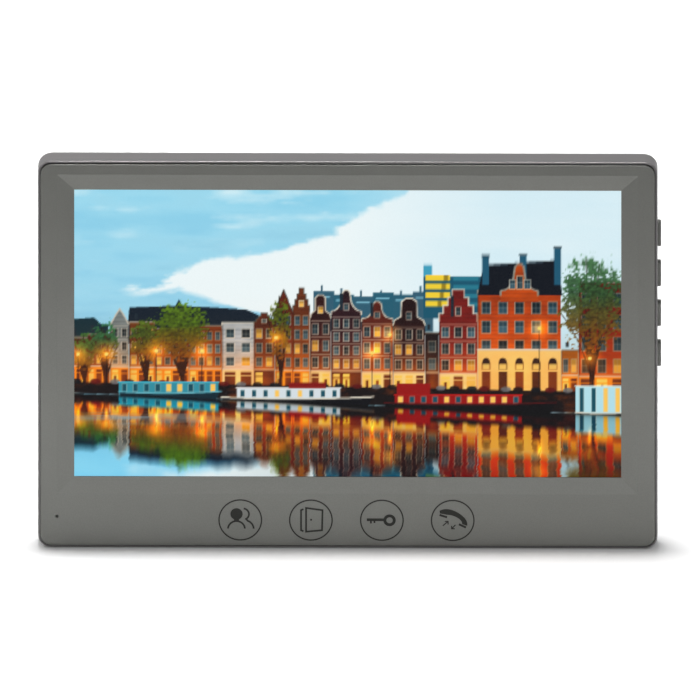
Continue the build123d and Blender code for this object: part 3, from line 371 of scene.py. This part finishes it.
def lay(mask, colour, place=WHOLE):
    """Lay a colour over part of the canvas, as strongly as the mask says."""
    mask = np.clip(mask, 0, 1)[..., None]
    canvas[place] = canvas[place] * (1 - mask) + np.asarray(colour) * mask


def lay_each(mask, colours, place):
    """Lay a patch whose dots each have their own colour."""
    canvas[place] = canvas[place] * (1 - mask[..., None]) + colours * mask[..., None]


def box(x0, z0, x1, z1, colour, strength=1.0):
    """An upright rectangle with soft one-dot edges."""
    place = window_of(x0 - 0.2, z0 - 0.2, x1 + 0.2, z1 + 0.2)
    x, z = grid_x[place], grid_z[place]
    edge = np.minimum.reduce([x - x0, x1 - x, z - z0, z1 - z]) * DOTS_PER_MM + 0.5
    lay(np.clip(edge, 0, 1) * strength, colour, place)


def inside(corners, place):
    """Which dots of a window lie inside a polygon, by the even-odd rule."""
    x, z = grid_x[place], grid_z[place]
    within = np.zeros(x.shape, bool)
    for (ax, az), (bx, bz) in zip(corners, corners[1:] + corners[:1]):
        if az != bz:
            crosses = (az > z) != (bz > z)
            within ^= crosses & (x < (bx - ax) * (z - az) / (bz - az) + ax)
    return within


def around(corners):
    """The window of the canvas that covers a polygon."""
    xs, zs = zip(*corners)
    return window_of(min(xs), min(zs), max(xs), max(zs))


def shape(corners, colour):
    """A filled polygon."""
    place = around(corners)
    lay(inside(corners, place).astype(float), colour, place)


def dot(x0, z0, radius_x, radius_z, colour, strength=1.0):
    """A soft ellipse."""
    place = window_of(x0 - radius_x, z0 - radius_z, x0 + radius_x, z0 + radius_z)
    away = ((grid_x[place] - x0) / radius_x) ** 2 + ((grid_z[place] - z0) / radius_z) ** 2
    lay(np.clip((1 - away) * 4.0, 0, 1) * strength, colour, place)


def line(points, width, colour, strength=0.85):
    """A soft line of small dots through some points."""
    for (ax, az), (bx, bz) in zip(points, points[1:]):
        steps = max(1, int(math.hypot(bx - ax, bz - az) * 5))
        for k in range(steps + 1):
            t = k / steps
            dot(ax + (bx - ax) * t, az + (bz - az) * t, width, width, colour, strength)


def glow(x0, z0, radius_x, radius_z, colour, strength):
    """Light added around a lamp."""
    place = window_of(x0 - radius_x, z0 - radius_z, x0 + radius_x, z0 + radius_z)
    away = np.hypot((grid_x[place] - x0) / radius_x, (grid_z[place] - z0) / radius_z)
    light = (np.clip(1 - away, 0, 1) ** 2 * strength)[..., None]
    canvas[place] = np.clip(canvas[place] + light * np.asarray(colour), 0, 1)


def shade(colour, amount):
    """A colour made darker or lighter."""
    return tuple(min(1.0, max(0.0, part * amount)) for part in colour)


def paint_sky():
    """Streaky blue on the left, and a bright bank of cloud rising to the right."""
    drift = soft_noise(34, 7, 6, seed=3)
    wisp = soft_noise(15, 2.6, 5, seed=4)
    bank = soft_noise(16, 6, 6, seed=11)
    high = np.clip((grid_z - 48) / 39, 0, 1)[..., None]
    canvas[:] = np.asarray((0.55, 0.80, 0.91)) * (1 - high)
    canvas[:] += np.asarray((0.56, 0.83, 0.93)) * high
    lay(np.clip((drift - 0.35) * 2.4, 0, 1) * 0.75, (0.67, 0.89, 0.96))
    streaks = np.clip((wisp - 0.55) * 2.5, 0, 1) * np.clip((grid_z - 60) / 20, 0.1, 1)
    lay(streaks, (0.84, 0.95, 0.98))
    lay(np.clip((drift - 0.62) * 3.0, 0, 1) * 0.45, (0.50, 0.75, 0.86))
    crest_xs = (6, 20, 36, 50, 62, 78, 92, 104)
    crest = np.interp(grid_x, crest_xs, (56.5, 59, 62, 66.5, 68.5, 77, 83, 92))
    crest = crest + (bank - 0.5) * 9
    foot = np.interp(grid_x, (6, 18, 30, 42, 56, 66), (57.5, 55.5, 56.5, 52.5, 47, 38))
    foot = foot + (bank - 0.5) * 5
    white = np.clip((crest - grid_z) / 1.1, 0, 1) * np.clip((grid_z - foot) / 1.6, 0, 1)
    lay(white * np.clip((grid_x - 6) / 8, 0, 1), (0.94, 0.98, 0.985))
    pale = np.clip((grid_x - 76) / 45, 0, 1) * (0.55 + 0.45 * drift)
    lay(pale, (0.82, 0.93, 0.97))
    low = np.clip((50 - grid_z) / 9, 0, 1) * np.clip((grid_x - 60) / 30, 0, 1)
    lay(low * 0.6, (0.70, 0.88, 0.95))


def pane(x0, z0, wide, high, lit, trim=TRIM):
    """A sash window: a pale frame, dark or lit glass, and glazing bars."""
    box(x0 - 0.22, z0 - 0.22, x0 + wide + 0.22, z0 + high + 0.22, trim, 0.85)
    cold = shade((0.17, 0.29, 0.34), 0.4 + 0.9 * random.random())
    glass = shade((1.0, 0.72, 0.25), 0.8 + 0.3 * random.random()) if lit else cold
    box(x0, z0, x0 + wide, z0 + high, glass)
    box(x0, z0 + high * 0.6, x0 + wide, z0 + high, shade(glass, 0.5), 0.6)
    box(x0 + wide / 2 - 0.05, z0, x0 + wide / 2 + 0.05, z0 + high, trim, 0.55)
    box(x0, z0 + high * 0.5 - 0.05, x0 + wide, z0 + high * 0.5 + 0.05, trim, 0.55)


def gable(kind, x0, x1, eaves, rise):
    """The outline of a gable top, from the left eaves to the right; "flat" is a parapet."""
    middle, half = (x0 + x1) / 2, (x1 - x0) / 2
    if kind == "step":
        left = []
        for step in range(4):
            reach = half * (1 - step / 4.4)
            left += [(middle - reach, eaves + rise * part / 4) for part in (step, step + 1)]
    elif kind == "bell":
        left = [(x0, eaves), (x0, eaves + rise * 0.12)]
        for k in range(7):
            turn = math.pi * k / 12
            reach = half * (0.28 + 0.66 * (1 - math.sin(turn)))
            left.append((middle - reach, eaves + rise * (0.15 + 0.6 * (1 - math.cos(turn)))))
        left += [(middle - half * 0.24, eaves + rise * 0.9), (middle - half * 0.1, eaves + rise)]
    elif kind == "neck":
        parts = ((1, 0), (0.88, 0.16), (0.5, 0.3), (0.48, 0.82), (0.2, 0.94))
        left = [(middle - half * reach, eaves + rise * up) for reach, up in parts]
    elif kind == "point":
        left = [(x0, eaves), (middle, eaves + rise)]
    else:
        left = [(x0, eaves), (x0, eaves + rise * 0.35)]
    return left + [(2 * middle - x, z) for x, z in reversed(left)]


def wall(corners, brick, base, eaves, warmth):
    """Brickwork: fine courses and patches, with lamplight fading up from the street."""
    place = around(corners)
    z = grid_z[place]
    up = np.clip((z - base) / (eaves - base), 0, 1)
    tone = 0.92 + 0.35 * (patches[place] - 0.5) + 0.10 * np.sin(z * 2 * math.pi / 0.6)
    tone = (tone * (1.12 - 0.3 * up))[..., None]
    light = (np.clip(1 - up * 1.35, 0, 1) ** 1.3 * warmth)[..., None]
    body = np.asarray(brick) * tone * (1 - 0.55 * light)
    body = body + np.asarray((0.95, 0.45, 0.05)) * light * 0.75
    mask = inside(corners, place)[..., None]
    canvas[place] = np.where(mask, np.clip(body, 0, 1), canvas[place])


def shopfront(x0, x1, base, high, bays, fashion):
    """The ground floor: lit windows and doors under a pale beam."""
    pitch = (x1 - x0) / bays
    ground = SHOPFRONTS[fashion]
    box(x0 + 0.1, base, x1 - 0.1, base + high, ground)
    for bay in range(bays):
        left = x0 + pitch * (bay + 0.16)
        right = x0 + pitch * (bay + 0.84)
        bright = random.random()
        glass = shade(LAMP_YELLOW, 0.75 + 0.25 * bright) if bright > 0.45 else (0.22, 0.09, 0.05)
        box(left, base, right, base + high * 0.86, glass)
        box(left, base + high * 0.6, right, base + high * 0.66, ground)
        if bright > 0.7:
            middle = (left + right) / 2
            box(middle - 0.3, base, middle + 0.4, base + high * 0.5, (0.2, 0.08, 0.05))
    box(x0 + 0.1, base + high, x1 - 0.1, base + high + 0.45, TRIM, 0.8)


def house(x0, wide, eaves, rise, kind, brick, storeys, bays, edge, fashion):
    """A narrow townhouse: brickwork, gable, cornice, sash windows and a ground floor."""
    x1 = x0 + wide
    base = float(street((x0 + x1) / 2))
    top = gable(kind, x0, x1, eaves, rise)
    wall([(x0, base)] + top + [(x1, base)], brick, base, eaves, warmth=0.75)
    box(x0, base, x0 + 0.3, eaves, shade(brick, 0.4), 0.6)
    line(top, 0.22 if edge > 0.5 else 0.16, shade(TRIM, edge), 0.9)
    front = 4.8
    height = (eaves - base - front - 1.0) / storeys
    pitch = wide / bays
    for storey in range(storeys):
        sill = base + front + 1.2 + storey * height
        for bay in range(bays):
            left = x0 + pitch * (bay + 0.25)
            lit = random.random() < 0.32 - 0.12 * storey
            pane(left, sill, pitch * 0.5, height * 0.60, lit, shade(TRIM, 0.55 + 0.45 * edge))
        if edge > 0.8:
            box(x0 + 0.2, sill + height * 0.76, x1 - 0.2, sill + height * 0.82, TRIM, 0.6)
    if kind in ("bell", "neck", "step"):
        pane((x0 + x1) / 2 - 0.6, eaves + rise * 0.2, 1.2, rise * 0.24, random.random() < 0.25)
    if kind == "flat":
        box(x0, eaves + rise * 0.2, x1, eaves + rise * 0.42, shade(TRIM, 0.4 + 0.5 * edge), 0.9)
    shopfront(x0, x1, base, front, bays, fashion)
    glow((x0 + x1) / 2, base + 2.0, wide * 0.8, 9.0, (0.55, 0.26, 0.02), 0.45)


def tree(x0, foot, crown_z, radius_x, radius_z, seed, leaf, cover=0.1):
    """Dark branches under a loose crown, lit from below by the street lamps."""
    spread = np.random.default_rng(seed)
    for branch in range(15):
        lean = (branch - 7) / 7
        reach = radius_z * (0.3 + 0.6 * spread.random())
        bend = spread.random() * 3
        points = []
        for k in range(9):
            t = k / 8
            x = x0 + lean * radius_x * 0.85 * t**1.5 + 0.35 * math.sin(4 * t + bend)
            points.append((x, foot + (crown_z - foot + reach) * t * (1 - 0.25 * abs(lean) * t)))
        line(points[:4], 0.30, (0.06, 0.04, 0.03), 0.8)
        line(points[3:], 0.16, (0.10, 0.07, 0.03), 0.7)
    place = window_of(x0 - radius_x, crown_z - radius_z, x0 + radius_x, crown_z + radius_z)
    x, z = grid_x[place], grid_z[place]
    away = ((x - x0) / radius_x) ** 2 + ((z - crown_z) / radius_z) ** 2
    clumps = soft_noise(3.0, 2.4, 3, seed=seed)[place]
    sprigs = soft_noise(0.65, 0.55, 2, seed=seed + 50)[place]
    height = np.clip((z - crown_z + radius_z) / (2 * radius_z), 0, 1)
    light = 0.35 + 1.1 * sprigs * (0.35 + 0.85 * height)
    amber = np.clip(1 - height * 1.7, 0, 1)[..., None]
    tint = np.asarray(leaf) * light[..., None] * (1 - amber)
    tint = tint + np.asarray((0.78, 0.40, 0.03)) * light[..., None] * amber
    thick = (1 - away - away**3) * 0.8 + (clumps - 0.5) * 1.3 + (sprigs - 0.5) * 2.2
    thick = thick - 0.25 + cover
    lay_each(np.clip(thick * 4, 0, 0.92), np.clip(tint, 0, 1), place)


def barge(x0, x1, deck, roof, hull, cabin, cabin_span, stripe):
    """A moored barge: a dark hull with sheer, a stripe, and a cabin with windows."""
    length = x1 - x0
    water = float(shore(x1)) - 0.6
    rail = [(x0 + length * t, deck + 2.2 * (t - 0.45) ** 2) for t in np.linspace(0, 1, 13)]
    left, right = x0 + length * cabin_span[0], x0 + length * cabin_span[1]
    box(left, deck - 0.5, right, roof, cabin)
    box(left - 0.3, roof - 0.1, right + 0.3, roof + 0.25, shade(cabin, 1.3))
    count = max(3, int((right - left) / 3.0))
    for k in range(count):
        middle = left + (right - left) * (k + 0.5) / count
        glass = (1.0, 0.78, 0.35) if random.random() < 0.35 else (0.08, 0.30, 0.36)
        box(middle - 0.75, deck + 0.3, middle + 0.75, roof - 0.4, TRIM, 0.6)
        box(middle - 0.6, deck + 0.45, middle + 0.6, roof - 0.55, glass)
    shape([(x0 + 1.2, water)] + rail + [(x1 - 2.0, water)], hull)
    line([(x, z - 0.15) for x, z in rail], 0.24, stripe, 0.9)
    box(x0 + 1.4, water, x1 - 2.2, water + 0.35, (0.01, 0.02, 0.03))


def paint_far_side():
    """Slate roofs on the left and office blocks behind the houses."""
    shape([(0, 40), (0, 47.5), (6, 48), (8, 46), (10, 46), (10, 40)], (0.05, 0.17, 0.21))
    ridge = [(16, 51), (29, 51.5), (30, 53.5), (31, 51.5), (49, 50.5), (54, 48)]
    shape([(15, 40)] + ridge + [(54, 40)], SLATE)
    for k in range(6):
        x = 68 + k * 5.6
        high = 54.5 + 2.5 * random.random()
        box(x, 44, x + 5.8, high, (0.12 + 0.08 * random.random(), 0.36, 0.44))
        box(x + 0.8, high - 2.0, x + 4.6, high - 1.5, (0.55, 0.80, 0.88), 0.8)
        box(x + 2, high, x + 2.5, high + 2.2 * random.random(), (0.12, 0.30, 0.38))
    box(99.0, 48, 115.5, 60.5, (0.09, 0.33, 0.42))
    box(99.0, 60.5, 101.5, 64.0, (0.25, 0.62, 0.74))
    for floor in range(4):
        sill = 51.5 + floor * 2.6
        box(99.6, sill, 106.5, sill + 1.7, (1.0, 0.84, 0.20), 0.95)
        box(103.0 + floor * 0.6, sill, 104.2 + floor * 0.6, sill + 1.7, (0.5, 0.42, 0.10), 0.8)
        box(107.5, sill, 114.6, sill + 1.3, (0.16, 0.48, 0.56), 0.9)


# Left to right: width, eaves, gable rise, gable, brick colour, storeys, window bays,
# brightness of the edging, and the kind of ground floor.
TERRACE = (
    (5.2, 41, 3.0, "flat", (0.30, 0.14, 0.07), 2, 3, 0.25, "lit"),
    (6.4, 42, 3.0, "flat", (0.36, 0.15, 0.07), 2, 3, 0.3, "lit"),
    (5.4, 46, 4.6, "point", (0.55, 0.60, 0.60), 3, 2, 0.9, "lit"),
    (7.2, 46, 2.0, "flat", (0.52, 0.26, 0.08), 3, 3, 0.5, "lit"),
    (9.6, 44, 2.0, "flat", (0.50, 0.20, 0.06), 3, 4, 0.3, "lit"),
    (9.4, 45, 2.0, "flat", (0.56, 0.24, 0.07), 3, 4, 0.4, "lit"),
    (9.0, 46, 1.6, "flat", (0.80, 0.84, 0.86), 3, 2, 1.0, "cream"),
    (5.8, 46, 3.4, "step", (0.42, 0.18, 0.08), 3, 2, 0.4, "dark"),
    (5.2, 50, 6.5, "point", (0.46, 0.17, 0.07), 4, 2, 0.3, "lit"),
    (4.8, 50, 7.0, "step", (0.52, 0.24, 0.09), 4, 2, 0.4, "lit"),
    (6.0, 48, 7.4, "neck", (0.24, 0.09, 0.08), 3, 2, 0.9, "cream"),
    (8.6, 49, 7.4, "bell", (0.22, 0.10, 0.13), 4, 3, 1.0, "dark"),
    (8.8, 47, 6.0, "bell", (0.46, 0.17, 0.10), 3, 3, 0.9, "cream"),
    (9.2, 46, 8.4, "neck", (0.17, 0.06, 0.06), 3, 3, 1.0, "cream"),
    (3.8, 43, 2.0, "flat", (0.08, 0.06, 0.08), 2, 1, 0.2, "dark"),
    (11.0, 47, 9.6, "step", (0.56, 0.13, 0.10), 3, 3, 1.0, "cream"),
    (23.6, 55, 4.0, "flat", (0.84, 0.30, 0.05), 4, 5, 0.6, "cream"),
    (4.8, 38, 1.5, "flat", (0.80, 0.42, 0.08), 1, 2, 0.5, "lit"),
    (13.4, 58, 3.0, "flat", (0.52, 0.11, 0.04), 4, 3, 0.4, "lit"),
)


def paint_terrace():
    """The row of houses, some with a chimney stack."""
    x = -1.0
    for wide, *rest in TERRACE:
        house(x, wide - 0.1, *rest)
        if random.random() < 0.55:
            eaves, rise = rest[:2]
            stack = x + wide * (0.12 + 0.2 * random.random())
            box(stack, eaves + 1.5, stack + 0.9, eaves + rise * 0.6 + 2.0, (0.10, 0.16, 0.20))
        x += wide


def paint_big_house():
    """The roof, chimneys, gable and arcade of the widest house in the row."""
    left, right, eaves = 114.4, 137.9, 55.0
    base = float(street(128))
    roof = [(left, eaves), (left + 1.5, 64), (right - 1.0, 65.5), (right + 0.4, eaves)]
    shape(roof, (0.03, 0.07, 0.11))
    for stack, high in ((left + 1.2, 66.5), ((left + right) / 2, 66.8), (right - 2.0, 69)):
        box(stack, eaves + 3, stack + 2.0, high, (0.12, 0.34, 0.44))
        box(stack - 0.2, high, stack + 2.2, high + 0.5, (0.06, 0.14, 0.18))
    top = gable("bell", left + 6.5, right - 6.5, eaves, 9.4)
    corners = [(left + 6.5, eaves - 2)] + top + [(right - 6.5, eaves - 2)]
    wall(corners, (0.90, 0.34, 0.05), base, eaves, warmth=0.6)
    line(top, 0.3, shade(TRIM, 0.65))
    for k in range(3):
        pane(left + 9.0 + k * 2.1, eaves + 2.0, 1.5, 2.6 + (k == 1), False)
    floor_top = base + 12.2
    box(left, base, right, floor_top, STONE)
    box(left - 0.2, floor_top, right + 0.2, floor_top + 0.6, TRIM)
    for k in range(5):
        middle = left + (right - left) * (k + 0.5) / 5
        glass = (0.10, 0.05, 0.04) if k % 2 else (0.35, 0.14, 0.06)
        box(middle - 1.2, base, middle + 1.2, floor_top - 3.6, glass)
        dot(middle, floor_top - 3.6, 1.2, 1.5, (0.06, 0.06, 0.08))
        box(middle - 1.3, floor_top - 6.3, middle + 1.3, floor_top - 5.7, STONE)
        box(middle - 1.0, floor_top - 5.6, middle + 1.0, floor_top - 4.0, (1.0, 0.86, 0.45), 0.9)
    glow((left + right) / 2, base + 5, 15, 13, (0.4, 0.22, 0.02), 0.35)


# Each street lamp's place along the street, and the height of its light.
LAMPS = (
    (1.5, 37),
    (9.5, 37),
    (23.5, 38),
    (36.5, 38),
    (57.5, 42),
    (84.5, 37.5),
    (89.5, 43),
    (131.8, 45),
    (146, 36),
)


def paint_lamplight():
    """Warm light from the street on the lower half of the fronts."""
    rise = grid_z - street(grid_x)
    warm = np.clip(rise / 2 + 0.5, 0, 1) * np.exp(-((np.clip(rise, 0, None) / 13) ** 2))
    lay(warm * (0.14 + 0.22 * patches), (0.95, 0.42, 0.08))


def paint_quay():
    """Quay wall, parked cars and street lamps."""
    bank = np.clip((street(grid_x) + 0.4 - grid_z) * 4, 0, 1)
    bank = bank * np.clip((grid_z - shore(grid_x)) * 4, 0, 1)
    lay(bank, (0.09, 0.05, 0.04))
    lay(bank * np.clip((patches - 0.5) * 2.4, 0, 1) * 0.7, (0.55, 0.26, 0.05))
    cars = ((0.05, 0.07, 0.10), (0.35, 0.06, 0.04), (0.42, 0.42, 0.44), (0.10, 0.05, 0.03))
    for k in range(34):
        x = 1 + 4.6 * k + 2 * random.random()
        dot(x, street(x) + 0.5, 1.5, 0.8, cars[k % len(cars)], 0.85)
    for x, high in LAMPS:
        box(x - 0.07, street(x) - 0.5, x + 0.07, high, (0.03, 0.03, 0.04))
        glow(x, high, 5.0, 5.0, (1.0, 0.55, 0.10), 0.75)
        dot(x, high, 0.55, 0.55, LAMP_YELLOW)


def paint_water():
    """The far side mirrored in dark water, drawn out in upright streaks."""
    line_of_water = shore(grid_x)
    depth = np.clip((line_of_water - grid_z) / line_of_water, 0, 1)
    chop = soft_noise(7, 0.7, 4, seed=31) - 0.5
    sway = soft_noise(2.4, 9.0, 2, seed=34) - 0.5
    steps = 13
    mirror = np.zeros_like(canvas)
    for k in range(steps):
        smear = (k / (steps - 1) - 0.5) * (1.0 + 4.5 * depth)
        up = line_of_water + (line_of_water - grid_z) * 1.4 + smear + 2.0 * sway * depth
        side = grid_x + chop * (0.2 + 0.9 * depth)
        row = np.clip((up * DOTS_PER_MM).astype(int), 0, rows - 1)
        column = np.clip((side * DOTS_PER_MM).astype(int), 0, columns - 1)
        mirror += canvas[row, column]
    mirror /= steps
    grey = mirror.mean(axis=-1, keepdims=True)
    mirror = grey + (mirror - grey) * 1.35
    dark = np.clip((grid_x - 40) / 40, 0, 1)[..., None]
    mirror = np.clip(mirror * (1.0 - 0.16 * dark) - 0.03, 0, 1)
    ruffle = soft_noise(16, 1.0, 5, seed=33)
    band = np.exp(-(((line_of_water - grid_z - 6.0) / 2.4) ** 2))
    band = band * np.clip((56 - grid_x) / 34, 0, 1) * np.clip((ruffle - 0.25) * 2, 0, 1) * 0.75
    mirror = mirror * (1 - band[..., None]) + np.asarray((0.50, 0.62, 0.68)) * band[..., None]
    mirror *= (1 - 0.6 * np.exp(-(line_of_water - grid_z) / 0.7).clip(0, 1))[..., None]
    wet = grid_z < line_of_water
    canvas[wet] = np.clip(mirror, 0, 1)[wet]
    for x, high in LAMPS:
        middle = float(shore(x)) - 0.45 * (high - float(shore(x)))
        glow(x, middle, 0.9, 4.2, (1.0, 0.55, 0.05), 1.1)
        glow(x, middle, 2.2, 6.0, (0.6, 0.25, 0.0), 0.5)


def paint_picture():
    """The whole picture, from the sky down to the water."""
    paint_sky()
    paint_far_side()
    paint_terrace()
    paint_big_house()
    tree(3.2, street(3), 37.5, 4.2, 7.0, 60, (0.20, 0.38, 0.16))
    tree(9.2, street(9), 40.5, 4.6, 8.0, 61, (0.16, 0.40, 0.24))
    tree(20.5, street(20), 41.0, 5.6, 8.0, 62, (0.26, 0.36, 0.10))
    tree(30.8, street(31), 44.0, 9.2, 9.6, 63, (0.30, 0.42, 0.08), 0.4)
    tree(58.5, street(58), 45.0, 3.8, 11.0, 64, (0.30, 0.36, 0.08), 0.0)
    tree(146.5, street(146), 53.0, 10.5, 16.5, 65, (0.20, 0.36, 0.20), 0.2)
    paint_lamplight()
    paint_quay()
    teal, red = (0.20, 0.55, 0.62), (0.58, 0.07, 0.05)
    barge(13.0, 42.0, 25.4, 28.6, (0.05, 0.16, 0.20), teal, (0.0, 0.97), (0.40, 0.70, 0.76))
    barge(42.0, 85.0, 23.8, 26.8, (0.02, 0.03, 0.06), (0.84, 0.88, 0.90), (0.10, 0.78), TRIM)
    box(61.0, 26.8, 71.5, 28.6, (0.50, 0.07, 0.05))
    barge(88.0, 136.5, 22.2, 24.9, (0.03, 0.02, 0.03), red, (0.06, 0.80), (0.30, 0.05, 0.06))
    box(91.5, 24.9, 101.0, 28.4, red)
    barge(142.0, 159.0, 19.6, 27.6, (0.03, 0.06, 0.08), (0.70, 0.88, 0.92), (0.0, 1.0), TRIM)
    paint_water()


paint_picture()

# The film's cells across and up; above SKY_FROM, where the picture is soft, the rows are
# taller and there are SKY_ROWS of them.
FILM_COLUMNS = 520
FILM_ROWS = 188
SKY_ROWS = 34
SKY_FROM = 62.0
FILM_THICK = 0.12
DISPLAY_GAMMA = 2.2
UNPAINTED = 0.01


def film_heights():
    """Heights of the film's rows, wide apart in the sky and close in the houses and water."""
    fine = np.linspace(0, SKY_FROM, FILM_ROWS - SKY_ROWS, endpoint=False)
    return np.concatenate([fine, np.linspace(SKY_FROM, VIEW_HIGH, SKY_ROWS + 1)])


def averaged(edges_z, edges_x):
    """Mean canvas colour around each crossing of the given heights and distances."""
    sums = np.cumsum(np.cumsum(np.pad(canvas, ((1, 0), (1, 0), (0, 0))), axis=0), axis=1)

    def spans(at, limit):
        middle = (at[1:] + at[:-1]) / 2
        low = np.concatenate([at[:1], middle]) * DOTS_PER_MM
        high = np.concatenate([middle, at[-1:]]) * DOTS_PER_MM
        first = np.clip(np.round(low).astype(int), 0, limit - 1)
        return first, np.clip(np.maximum(np.round(high).astype(int), first + 1), 1, limit)

    low_z, high_z = spans(edges_z, rows)
    low_x, high_x = spans(edges_x, columns)
    total = sums[high_z][:, high_x] - sums[low_z][:, high_x]
    total = total - sums[high_z][:, low_x] + sums[low_z][:, low_x]
    return total / np.outer(high_z - low_z, high_x - low_x)[..., None]


def film_sheet(up, across):
    """The corners and faces of a closed sheet: a front grid, a rim and one face behind."""
    glass_low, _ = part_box("lcd_glass")
    left = -VIEW_WIDE / 2
    floor = WINDOW_MIDDLE - VIEW_HIGH / 2
    back = glass_low[1] / MM
    front = back - FILM_THICK
    points = [((left + x) * MM, front * MM, (floor + z) * MM) for z in up for x in across]
    wide, high = len(across), len(up)
    faces = [
        (r * wide + c, r * wide + c + 1, (r + 1) * wide + c + 1, (r + 1) * wide + c)
        for r in range(high - 1)
        for c in range(wide - 1)
    ]
    rim = list(range(wide))
    rim += [r * wide + wide - 1 for r in range(1, high)]
    rim += [(high - 1) * wide + c for c in range(wide - 2, -1, -1)]
    rim += [r * wide for r in range(high - 2, 0, -1)]
    start, count = len(points), len(rim)
    points += [(points[i][0], back * MM, points[i][2]) for i in rim]
    for k in range(count):
        after = (k + 1) % count
        faces.append((rim[after], rim[k], start + k, start + after))
    faces.append(tuple(start + k for k in range(count - 1, -1, -1)))
    return points, faces


def make_screen_film():
    """A thin sheet over the glass, whose front carries the picture's colours."""
    across = np.linspace(0, VIEW_WIDE, FILM_COLUMNS + 1)
    up = film_heights()
    points, faces = film_sheet(up, across)
    mesh = bpy.data.meshes.new("screen_film")
    mesh.from_pydata(points, [], faces)
    mesh.update()
    colours = np.clip(averaged(up, across), 0, 1).reshape(-1, 3) ** DISPLAY_GAMMA
    every = np.full((len(points), 4), UNPAINTED)
    every[: len(colours), :3] = colours
    every[:, 3] = 1.0
    layer = mesh.color_attributes.new("picture", "FLOAT_COLOR", "POINT")
    layer.data.foreach_set("color", every.ravel())
    mesh.color_attributes.active_color = layer
    film = bpy.data.objects.new("screen_film", mesh)
    bpy.context.collection.objects.link(film)
    mesh.materials.append(screen_film("screen_film"))
    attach(film, "housing")


make_screen_film()

# ------------------------------------------------------------------------ stage


def make_floor():
    """A pale floor just under the case's bottom edge."""
    case_low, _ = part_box("rear_cover")
    reach, clearance = 3.0, 0.0002
    level = case_low[2] - clearance
    mesh = bpy.data.meshes.new("floor")
    corners = [(-reach, -reach), (reach, -reach), (reach, reach), (-reach, reach)]
    mesh.from_pydata([(x, y, level) for x, y in corners], [], [(0, 1, 2, 3)])
    floor = bpy.data.objects.new("floor", mesh)
    bpy.context.collection.objects.link(floor)
    make = Finish("floor", (0.92, 0.92, 0.92), specular=0.1)
    cloud = make.noise(300.0)
    mesh.materials.append(make.finish(make.tinted(cloud, 0.01), make.ramp(cloud, 0.75, 0.85)))


def make_light(name, place, target, wide, high, power, spread=180):
    """A soft box aimed at a point, unseen by the camera; its beam spreads by some degrees."""
    data = bpy.data.lights.new(name, "AREA")
    data.shape = "RECTANGLE"
    data.spread = math.radians(spread)
    data.size, data.size_y = wide, high
    data.energy = power
    lamp = bpy.data.objects.new(name, data)
    lamp.location = place
    lamp.rotation_mode = "QUATERNION"
    lamp.rotation_quaternion = (Vector(target) - Vector(place)).to_track_quat("-Z", "Y")
    lamp.visible_camera = False
    bpy.context.collection.objects.link(lamp)


def make_world():
    """Soft white light from everywhere."""
    world = bpy.data.worlds.new("studio")
    bpy.context.scene.world = world
    world.use_nodes = True
    background = world.node_tree.nodes["Background"]
    background.inputs["Color"].default_value = (1, 1, 1, 1)
    background.inputs["Strength"].default_value = 0.50


def make_camera():
    """A view without perspective, from twenty degrees above the middle of the front."""
    azimuth, elevation, distance = math.radians(0.4), math.radians(20.0), 1.0
    view_width = 0.1977
    target = Vector((0.0005, 0.0, -0.0061))
    level = math.cos(elevation)
    away = Vector((math.sin(azimuth) * level, -math.cos(azimuth) * level, math.sin(elevation)))
    data = bpy.data.cameras.new("camera")
    data.type = "ORTHO"
    data.ortho_scale = view_width
    data.clip_start, data.clip_end = 0.01, 10.0
    camera = bpy.data.objects.new("camera", data)
    camera.location = target + away * distance
    camera.rotation_mode = "QUATERNION"
    camera.rotation_quaternion = (-away).to_track_quat("-Z", "Y")
    bpy.context.collection.objects.link(camera)
    bpy.context.scene.camera = camera


make_floor()
# The high light's narrow beam leaves the front's top darker and casts the short shadow;
# the pool light brightens the floor that the front mirrors.
make_light("high_light", (-0.03, 0.115, 2.2), (-0.03, 0.115, 0), 0.30, 0.22, 0.80, 20)
make_light("back_light", (0, 0.55, 1.4), (0, 0.55, 0), 0.20, 0.20, 0.72, 34)
make_light("near_light", (-0.24, 0.06, 0.20), (-0.06, -0.01, 0.058), 0.12, 0.12, 0.18)
make_light("pool_light", (0, -0.135, 0.35), (0, -0.135, 0), 0.50, 0.04, 0.20, 26)
make_light("front_light", (0, -1.60, 0.10), (0, 0, 0), 1.2, 0.30, 3.0)
make_world()
make_camera()
bpy.context.scene.view_settings.view_transform = "Standard"
